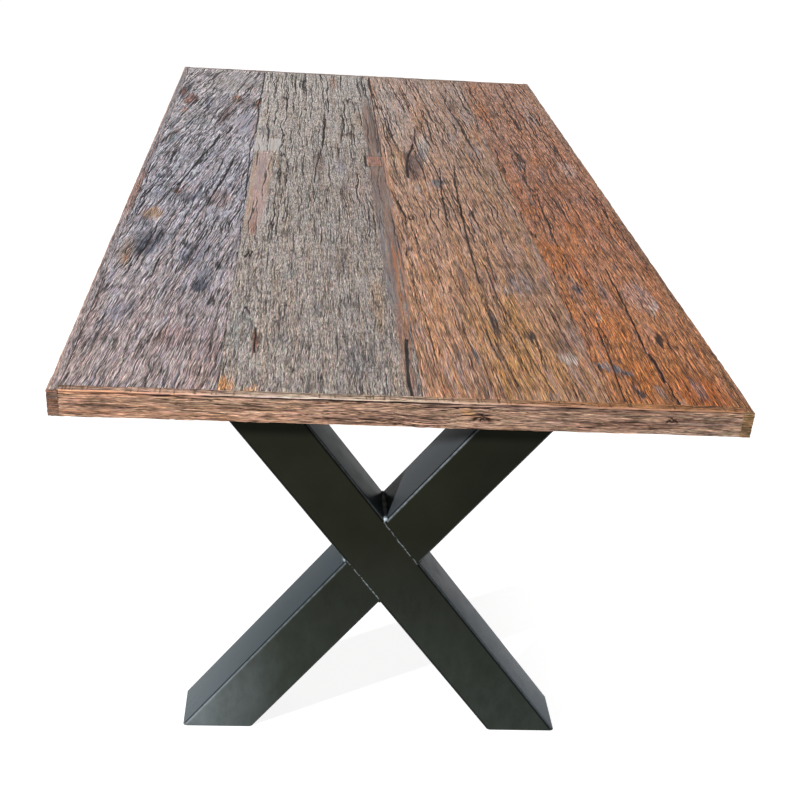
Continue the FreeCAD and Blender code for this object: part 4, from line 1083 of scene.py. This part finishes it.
def powderCoat():
    material, tree, shader = newMaterial("BlackPowderCoat")
    texture = addNode(tree, "TexCoord", {})
    place = texture.outputs["Object"]
    sidewards, _, height = addNode(tree, "SeparateXYZ", {0: place}).outputs
    facingUp = addNode(tree, "SeparateXYZ", {0: texture.outputs["Normal"]}).outputs[2]
    marks = addNode(tree, "Attribute", {}, attribute_name="bareAndHighlight").outputs["Color"]
    bareAndHighlight, paintedDarkLine, _ = addNode(tree, "SeparateColor", {0: marks}).outputs
    cloud = noise(tree, place, 5, 3, 0.6, 2.0)
    dust = noise(tree, scaled(tree, place, (1, 1, 0.5)), 35, 4, 0.7, 4.0)
    peel = noise(tree, place, 420, 2, 0.5, 1.0)
    colour = blend(tree, "MIX", fit(tree, cloud, 0.3, 0.7), tone("#1b1c14") + [1],
                   tone("#25261d") + [1])
    # lighter low down, more on the left: partly dust, partly a painted reflection of the lit floor
    low = fit(tree, height, 0.42, 0.03, 0.0, 0.55)
    low = maths(tree, "MULTIPLY", low, fit(tree, sidewards, -0.28, -0.1, 1.5, 1.0))
    low = maths(tree, "MULTIPLY", low, fit(tree, dust, 0.3, 0.75, 0.6, 1.1))
    colour = blend(tree, "MIX", low, colour, tone("#474f4b") + [1])
    # a painted highlight, a soft pool of reflected light, low on the left arm
    corner = maths(tree, "MULTIPLY", fit(tree, sidewards, -0.16, -0.34), fit(tree, height, 0.3, 0.07))
    corner = maths(tree, "MULTIPLY", corner, fit(tree, dust, 0.3, 0.75, 0.5, 0.8))
    colour = blend(tree, "MIX", corner, colour, tone("#7b8285") + [1])
    # a painted reflection of the sky on what faces up, blue-grey, broken up by the dust noise
    upper = maths(tree, "MULTIPLY", fit(tree, facingUp, 0.3, 0.75), fit(tree, dust, 0.3, 0.75, 0.75, 1.0))
    colour = blend(tree, "MIX", upper, colour, tone("#3f4a53") + [1])
    # painted reflection tones: paler and bluer on the upward faces of the lower right arm, plain grey on
    # those of the upper right arm
    right = maths(tree, "MULTIPLY", fit(tree, sidewards, 0.0, 0.2), fit(tree, height, 0.38, 0.2))
    colour = blend(tree, "MIX", maths(tree, "MULTIPLY", right, upper), colour, tone("#687581") + [1])
    arm = maths(tree, "MULTIPLY", fit(tree, sidewards, 0.0, 0.02), fit(tree, height, 0.38, 0.42))
    colour = blend(tree, "MIX", maths(tree, "MULTIPLY", arm, upper), colour, tone("#424345") + [1])
    # a painted dark reflection line beside each arris
    colour = blend(tree, "MULTIPLY", paintedDarkLine, colour, tone("#404448") + [1])
    # painted highlights along the arrises and on the welds, pale and bluish, broken up by scuffs
    scuff = noise(tree, place, 90, 3, 0.7, 9.0)
    wear = maths(tree, "MULTIPLY", bareAndHighlight, fit(tree, scuff, 0.35, 0.6, 0.35, 1.0))
    colour = blend(tree, "MIX", wear, colour, tone("#bcc8d0") + [1])
    tree.links.new(colour, shader.inputs["Base Color"])
    rough = maths(tree, "ADD", fit(tree, cloud, 0.3, 0.7, 0.24, 0.34), fit(tree, dust, 0.45, 0.75, 0, 0.12))
    tree.links.new(rough, shader.inputs["Roughness"])
    addBump(tree, shader, peel, 0.12, 0.25)
    shader.inputs["Specular IOR Level"].default_value = 0.03
    shader.inputs["Specular Tint"].default_value = (0.9, 0.97, 1.0, 1.0)
    return material


def addTube(node, centre, turn, lower=None):
    # a square tube turned about the crossing, sawn level, and coped where it is a half
    lean = math.radians(90 - steel["lean"]) * turn
    crossing = Vector((0, centre, steel["crossing"] * mm))
    bpy.ops.mesh.primitive_cube_add(size=1, location=crossing)
    piece = fresh(node + "_steel")
    piece.scale = (steel["side"] * mm, steel["side"] * mm, steel["half"] * mm)
    bpy.ops.object.transform_apply(location=False, rotation=False, scale=True)
    startEdit(piece, "FACE")
    pick(piece, "FACE", lambda face: abs(face.normal.z) > 0.9)
    bpy.ops.mesh.delete(type="FACE")
    bpy.ops.mesh.select_mode(type="EDGE")
    bpy.ops.mesh.select_all(action="DESELECT")
    corners = piece.data.vertices
    pick(piece, "EDGE", lambda edge: abs(corners[edge.vertices[0]].co.z - corners[edge.vertices[1]].co.z) > 1)
    bpy.ops.mesh.bevel(offset=steel["corner"] * mm, segments=6, affect="EDGES")
    endEdit()
    spots = places(piece.data)
    flat = steel["side"] / 2 * mm - np.abs(spots[:, :2])  # how far in from each flat side
    # along each arris a painted highlight line and a painted dark reflection line, on either side of its
    # middle
    turned = (flat[:, 0] - flat[:, 1]) / mm * (1 if lower is None else -1)
    bareAndHighlight = np.clip(1 - np.abs(turned + 1.2) / 2.2, 0, 1) * steel["arrisHighlight"] * (1.7 if lower is False else 1)
    paintedDarkLine = np.clip(1.3 - np.abs(turned - 3) / 2, 0, 1)
    writeColour(piece.data, "bareAndHighlight", bareAndHighlight, paintedDarkLine, bareAndHighlight)
    applyModifier(piece, "SOLIDIFY", thickness=steel["wall"] * mm, offset=-1)
    piece.rotation_euler = (0, lean, 0)
    settle(piece)
    startEdit(piece)
    cuts = [((0, 0, steel["head"] * mm), (0, 0, 1)), ((0, 0, steel["foot"] * mm), (0, 0, -1))]
    if lower is not None:
        # the other tube's side faces this half, which leans the other way
        across = Vector((math.cos(lean), 0, math.sin(lean)))
        across *= 1 if (across.z > 0) != lower else -1
        cuts.append((crossing + across * steel["side"] / 2 * mm, -across))
    for place, normal in cuts:
        bpy.ops.mesh.select_all(action="SELECT")
        bpy.ops.mesh.bisect(plane_co=place, plane_no=normal, clear_outer=True, use_fill=True)
    faceOutwards()
    endEdit()
    smooth(piece, 30)
    dress(piece, black, "black_paint", node)


black = powderCoat()
for prefix, side in (("front_leg_", -1), ("rear_leg_", 1)):
    middle = side * steel["centre"] * mm
    addTube(prefix + "through_tube", middle, side)
    addTube(prefix + "upper_half_tube", middle, -side, lower=False)
    addTube(prefix + "lower_half_tube", middle, -side, lower=True)
print("tubes ready")


# the welds: rippled beads in the corners, and ground seams on the flat faces
weld = {
    "bead": 5.5, "barBead": 4.2, "length": 88, "step": 1.0,
    "ripple": 0.2, "pitch": 4.2,  # how deep and how long a ripple is
    "seam": 9.0, "deep": 6.0, "proud": 0.15, "ridge": 0.45, "faces": (9, 60),
}


def roundBead(start, end, radius, seed, glint=0.0):
    # a ring drawn from start to end, swollen at each ripple; the near tip can carry a painted glint
    path = end - start
    steps = round(path.length / (weld["step"] * mm))
    bpy.ops.mesh.primitive_circle_add(vertices=12, radius=radius, fill_type="NGON", location=start,
                                      rotation=path.to_track_quat("Z", "Y").to_euler())
    piece = settle(fresh("bead"))
    startEdit(piece, "FACE")
    bpy.ops.mesh.select_all(action="SELECT")
    bpy.ops.mesh.extrude_repeat(steps=steps, offset=path / steps, scale_offset=1)
    faceOutwards()
    endEdit()
    spots = places(piece.data)
    origin = np.array(start)
    unit = np.array(path.normalized())
    run = (spots - origin) @ unit
    axis = origin + run[:, None] * unit
    swell = 1 + weld["ripple"] * (np.abs(np.sin(run / mm * math.pi / weld["pitch"])) - 0.6)
    swell *= 0.82 + 0.36 * softNoise(run / mm / 9, 0 * run, seed)
    tips = np.minimum(run, path.length - run) / (0.8 * radius)
    swell *= np.sqrt(np.clip(tips, 0.12, 1))
    putPlaces(piece.data, axis + (spots - axis) * swell[:, None])
    # painted glints: flecks along the ripples and a bright spot at the near tip
    shine = 0.08 + 0.3 * glint * np.clip(np.abs(np.sin(run / mm * 0.9)), 0, 1)
    shine += glint * np.clip(1.6 - run / (3 * mm), 0, 1)
    writeColour(piece.data, "bareAndHighlight", shine, 0 * shine, shine)
    smooth(piece, 50)
    return piece


def groundSeam(start, end, faceY, outward, seed):
    # fills the groove beside a rounded corner, flush, with a thin uneven ridge
    path = end - start
    angle = math.atan2(path.z, path.x)
    bpy.ops.mesh.primitive_grid_add(x_subdivisions=weld["faces"][1], y_subdivisions=weld["faces"][0],
                                    size=1, location=(start + end) / 2)
    piece = fresh("seam")
    piece.scale = (path.length, weld["seam"] * mm, 1)
    piece.rotation_euler = (math.radians(90), -angle, 0)
    settle(piece)
    closeGrid(piece, (0, -outward * weld["deep"] * mm, 0))
    endEdit()
    spots = places(piece.data)
    onFace = np.abs(spots[:, 1] - faceY) < 1 * mm
    unit = np.array(path.normalized())
    side = np.array((unit[2], 0, -unit[0]))
    run = (spots - np.array(start)) @ unit / mm
    off = (spots - np.array(start)) @ side / mm + 1.6 * (softNoise(run / 7, 0 * run, seed) - 0.5)
    ridge = np.clip(1 - np.abs(off) / 1.5, 0, 1) * (0.25 + 1.2 * softNoise(run / 3.5, 0 * run, seed + 2))
    edge = np.clip(1.6 - (weld["seam"] / 2 - np.abs(off)), 0, 1)
    lift = (weld["proud"] + weld["ridge"] * ridge - 0.5 * edge) * mm
    spots[:, 1] += np.where(onFace, outward * lift, 0)
    putPlaces(piece.data, spots)
    shine = np.clip(ridge * 1.1 - 0.45, 0, 0.5) * onFace
    writeColour(piece.data, "bareAndHighlight", shine, 0 * shine, shine)
    smooth(piece, 40)
    return piece


def addWelds(prefix, side):
    middle = side * steel["centre"] * mm
    lean = math.radians(steel["lean"])
    crossing = steel["crossing"] * mm
    half = steel["side"] / 2 * mm
    tall = half / math.cos(lean)
    wide = half / math.sin(lean)
    reach = weld["length"] / 2 * mm
    beads = []

    def addBead(x, z, radius, seed, glint=0.0):
        # one with a painted glint comes out to the front face
        front = Vector((x, middle - reach - 5 * glint * mm, z))
        back = Vector((x, middle + reach, z))
        beads.append(roundBead(front, back, radius * mm, seed, glint))

    # only the front frame's beads take the painted glint
    addBead(0, crossing + tall, weld["bead"], 2, 1.0 if side < 0 else 0.0)
    addBead(0, crossing - tall, weld["bead"], 3)
    addBead(wide, crossing, weld["bead"], 4)
    addBead(-wide, crossing, weld["bead"], 5, 0.5 if side < 0 else 0.0)
    # under the bar, in the angle between each arm and the bar
    head = steel["head"] * mm
    inner = (head - crossing) / math.tan(lean) - wide
    addBead(-inner, head, weld["barBead"], 6)
    addBead(inner, head, weld["barBead"], 7)
    # one seam runs from the upper corner, the other to the lower one
    normal = Vector((math.sin(lean) * -side, 0, math.cos(lean)))
    inset = normal * (weld["seam"] / 2 - 1.0) * mm
    for outward in (-1, 1):
        faceY = middle + outward * half
        top = Vector((0, faceY, crossing + tall))
        right = Vector((-side * wide, faceY, crossing))
        left = Vector((side * wide, faceY, crossing))
        bottom = Vector((0, faceY, crossing - tall))
        beads.append(groundSeam(top - inset, right - inset, faceY, outward, 3 + outward))
        beads.append(groundSeam(left + inset, bottom + inset, faceY, outward, 8 + outward))
    piece = joinAs(beads, prefix + "weld_beads_steel")
    dress(piece, black, "black_paint", prefix + "weld_beads")


for prefix, side in (("front_leg_", -1), ("rear_leg_", 1)):
    addWelds(prefix, side)
print("welds ready")


def planedWood(name, light, dark):
    material, tree, shader = newMaterial(name)
    place = addNode(tree, "TexCoord", {}).outputs["Object"]
    along = scaled(tree, place, (2, 30, 30))
    ring = noise(tree, along, 1.5, 3, 0.6, 1.0)
    pore = noise(tree, scaled(tree, place, (12, 300, 300)), 1.0, 2, 0.5, 2.0)
    colour = blend(tree, "MIX", fit(tree, ring, 0.35, 0.65), tone(dark) + [1], tone(light) + [1])
    colour = blend(tree, "MULTIPLY", 1.0, colour, grey(tree, fit(tree, pore, 0.3, 0.7, 0.75, 1.15)))
    tree.links.new(colour, shader.inputs["Base Color"])
    tree.links.new(fit(tree, pore, 0.3, 0.7, 0.6, 0.45), shader.inputs["Roughness"])
    addBump(tree, shader, pore, 0.3, 0.4)
    return material


def zincPlate():
    material, tree, shader = newMaterial("ZincPlate")
    place = addNode(tree, "TexCoord", {}).outputs["Object"]
    spangle = noise(tree, place, 900, 2, 0.6, 3.0)
    dull = noise(tree, place, 120, 3, 0.6, 5.0)
    colour = blend(tree, "MIX", fit(tree, dull, 0.35, 0.65), tone("#b9bcbd") + [1],
                   tone("#9a9c98") + [1])
    tree.links.new(colour, shader.inputs["Base Color"])
    tree.links.new(fit(tree, spangle, 0.3, 0.7, 0.28, 0.5), shader.inputs["Roughness"])
    addBump(tree, shader, spangle, 0.1, 0.1)
    shader.inputs["Metallic"].default_value = 1.0
    return material


battenWood = planedWood("BattenWood", "#a5805f", "#7a5a40")
zinc = zincPlate()

battens = {"ease": 3.0}


def addBatten(name):
    # a planed board with eased arrises
    low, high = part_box(name)
    bpy.ops.mesh.primitive_cube_add(size=1, location=(low + high) / 2)
    piece = fresh(name + "_wood")
    piece.scale = (high.x - low.x, high.y - low.y, high.z - low.z)
    settle(piece)
    startEdit(piece, "EDGE")
    corners = piece.data.vertices
    pick(piece, "EDGE", lambda edge: all(corners[v].co.z < low.z + 1 * mm for v in edge.vertices))
    bpy.ops.mesh.bevel(offset=battens["ease"] * mm, segments=3, affect="EDGES")
    endEdit()
    smooth(piece, 35)
    dress(piece, battenWood, "battens", name)


screws = {
    "beside": ((-170, -30), (-170, 30), (170, -30), (170, 30)),  # places from a bar's middle
    "hexUnder": 717.5, "tip": 758, "hexRadius": 7.5, "hexTall": 5.5, "sunk": 0.5, "shank": 4,
    "waferUnder": 726, "waferRadius": 5.4, "waferTall": 2, "recess": (5.2, 1.1, 2.4),
    "aside": 60,  # from the middle of a batten
    "battens": ((-1, (0, 3)), (0, (0, 1, 2, 3)), (1, (0, 3))),  # the boards screwed at each
}


def addHexScrews(name, spots):
    # one screw with a chamfered six-sided head, then copies of it
    x, y = spots[0]
    under = screws["hexUnder"] * mm
    tall = screws["hexTall"] * mm
    bpy.ops.mesh.primitive_cylinder_add(vertices=6, radius=screws["hexRadius"] * mm, depth=tall,
                                        location=(x, y, under + tall / 2))
    head = settle(fresh("hexHead"))
    startEdit(head, "FACE")
    pick(head, "FACE", lambda face: face.normal.z < -0.9)
    bpy.ops.mesh.inset(thickness=1.1 * mm)
    endEdit()
    applyModifier(head, "BEVEL", width=0.6 * mm, segments=2, limit_method="ANGLE")
    smooth(head, 30)
    low = under + tall - screws["sunk"] * mm
    tip = screws["tip"] * mm
    bpy.ops.mesh.primitive_cylinder_add(vertices=24, radius=screws["shank"] * mm, depth=tip - low,
                                        location=(x, y, (tip + low) / 2))
    shank = settle(fresh("shank"))
    startEdit(shank, "FACE")
    pick(shank, "FACE", lambda face: face.normal.z > 0.9)
    bpy.ops.mesh.bevel(offset=2 * mm, segments=2, affect="EDGES")
    endEdit()
    smooth(shank, 30)
    made = joinAs(copyTo(joinAs([head, shank], "hexScrew"), spots), name + "_zinc")
    dress(made, zinc, "zinc_screws", name)


def addWaferScrews(name, spots):
    # a shallow dome with a turned rim and a cross recess, then copies of it
    x, y = spots[0]
    under = screws["waferUnder"] * mm
    tall = screws["waferTall"] * mm
    bpy.ops.mesh.primitive_cylinder_add(vertices=32, radius=screws["waferRadius"] * mm, depth=tall,
                                        location=(x, y, under + tall / 2))
    head = settle(fresh("waferHead"))
    startEdit(head, "FACE")
    pick(head, "FACE", lambda face: face.normal.z < -0.9)
    bpy.ops.mesh.inset(thickness=1.2 * mm)
    endEdit()
    applyModifier(head, "BEVEL", width=0.9 * mm, segments=3, limit_method="ANGLE")
    for turn in (0, 90):
        bpy.ops.mesh.primitive_cube_add(size=1, location=(x, y, under))
        slot = fresh("slot")
        slot.scale = [size * mm for size in screws["recess"]]
        slot.rotation_euler = (0, 0, math.radians(turn))
        settle(slot)
        applyModifier(head, "BOOLEAN", object=slot, operation="DIFFERENCE", solver="EXACT")
        bpy.data.objects.remove(slot)
    smooth(head, 30)
    dress(joinAs(copyTo(head, spots), name + "_zinc"), zinc, "zinc_screws", name)


for battenName in ("front_batten", "middle_batten", "rear_batten"):
    addBatten(battenName)
for prefix, side in (("front_leg_", -1), ("rear_leg_", 1)):
    addHexScrews(prefix + "screws", [(x * mm, (side * steel["centre"] + y) * mm)
                                     for x, y in screws["beside"]])
boardMiddles = [(sum(board["edges"]) / 2) * mm - halfWidth for board in boards.values()]
waferSpots = []
for side, columns in screws["battens"]:
    for column in columns:
        aside = screws["aside"] if column % 2 == 0 else -screws["aside"]
        waferSpots.append((boardMiddles[column], (side * steel["centre"] + aside) * mm))
addWaferScrews("batten_screws", waferSpots)
for nodeName, node in nodes.items():
    if "_leg_" in nodeName:
        chosen = black
    else:
        chosen = battenWood
    node.data.materials.clear()
    node.data.materials.append(chosen)
print("carried pieces dressed")


# floor, light and camera
stage = {"size": 60, "floorTone": 0.45, "glow": 0.85, "world": 0.35}


def seenDirectly(tree):
    # 1 for what the camera sees, also in a mirror or through glass
    path = addNode(tree, "LightPath", {})
    seen = maths(tree, "MAXIMUM", path.outputs["Is Camera Ray"], path.outputs["Is Glossy Ray"])
    return maths(tree, "MAXIMUM", seen, path.outputs["Is Transmission Ray"])


def addFloor():
    bpy.ops.mesh.primitive_plane_add(size=stage["size"], location=(0, 0, 0))
    floor = fresh("Floor")
    material, tree, shader = newMaterial("PaleFloor")
    shader.inputs["Base Color"].default_value = (stage["floorTone"],) * 3 + (1,)
    shader.inputs["Roughness"].default_value = 1.0
    shader.inputs["Specular IOR Level"].default_value = 0.0
    seen = seenDirectly(tree)
    glow = addNode(tree, "Emission", {"Color": (1, 1, 1, 1),
                                      "Strength": maths(tree, "MULTIPLY", seen, stage["glow"])})
    total = addNode(tree, "AddShader", {0: shader.outputs[0], 1: glow.outputs[0]})
    tree.links.new(total.outputs[0], tree.nodes["Material Output"].inputs["Surface"])
    floor.data.materials.append(material)


def addWorld():
    world = bpy.data.worlds.new("PaleRoom")
    bpy.context.scene.world = world
    world.use_nodes = True
    tree = world.node_tree
    background = tree.nodes["Background"]
    seen = seenDirectly(tree)
    strength = fit(tree, seen, 0, 1, stage["world"], 1.0)
    background.inputs["Color"].default_value = (1, 1, 1, 1)
    tree.links.new(strength, background.inputs["Strength"])


def addSoftbox(name, location, target, size, watts):
    bpy.ops.object.light_add(type="AREA", location=location)
    lamp = bpy.context.object
    lamp.name = name
    lamp.data.shape = "DISK"
    lamp.data.size = size
    lamp.data.energy = watts
    lamp.rotation_euler = (Vector(target) - Vector(location)).to_track_quat("-Z", "Y").to_euler()


def addCamera():
    view = {"lens": 55.34, "place": (-0.1616, -2.5827, 1.5389), "turn": (62.248, -3.426, -2.653),
            "shift": (0.03, 0.03)}
    bpy.ops.object.camera_add(location=view["place"],
                              rotation=[math.radians(angle) for angle in view["turn"]])
    camera = bpy.context.object
    camera.data.lens = view["lens"]
    camera.data.sensor_width = 36
    camera.data.shift_x, camera.data.shift_y = view["shift"]
    bpy.context.scene.camera = camera


addFloor()
addWorld()
addSoftbox("FrontSoftbox", (-3.4, -3.4, 2.2), (0, -0.2, 0.6), 0.18, 260)
addSoftbox("TopSoftbox", (0.8, 0.6, 4.2), (0, 0, 0.7), 2.6, 70)
addCamera()
bpy.context.scene.view_settings.view_transform = "Standard"
print("stage ready")
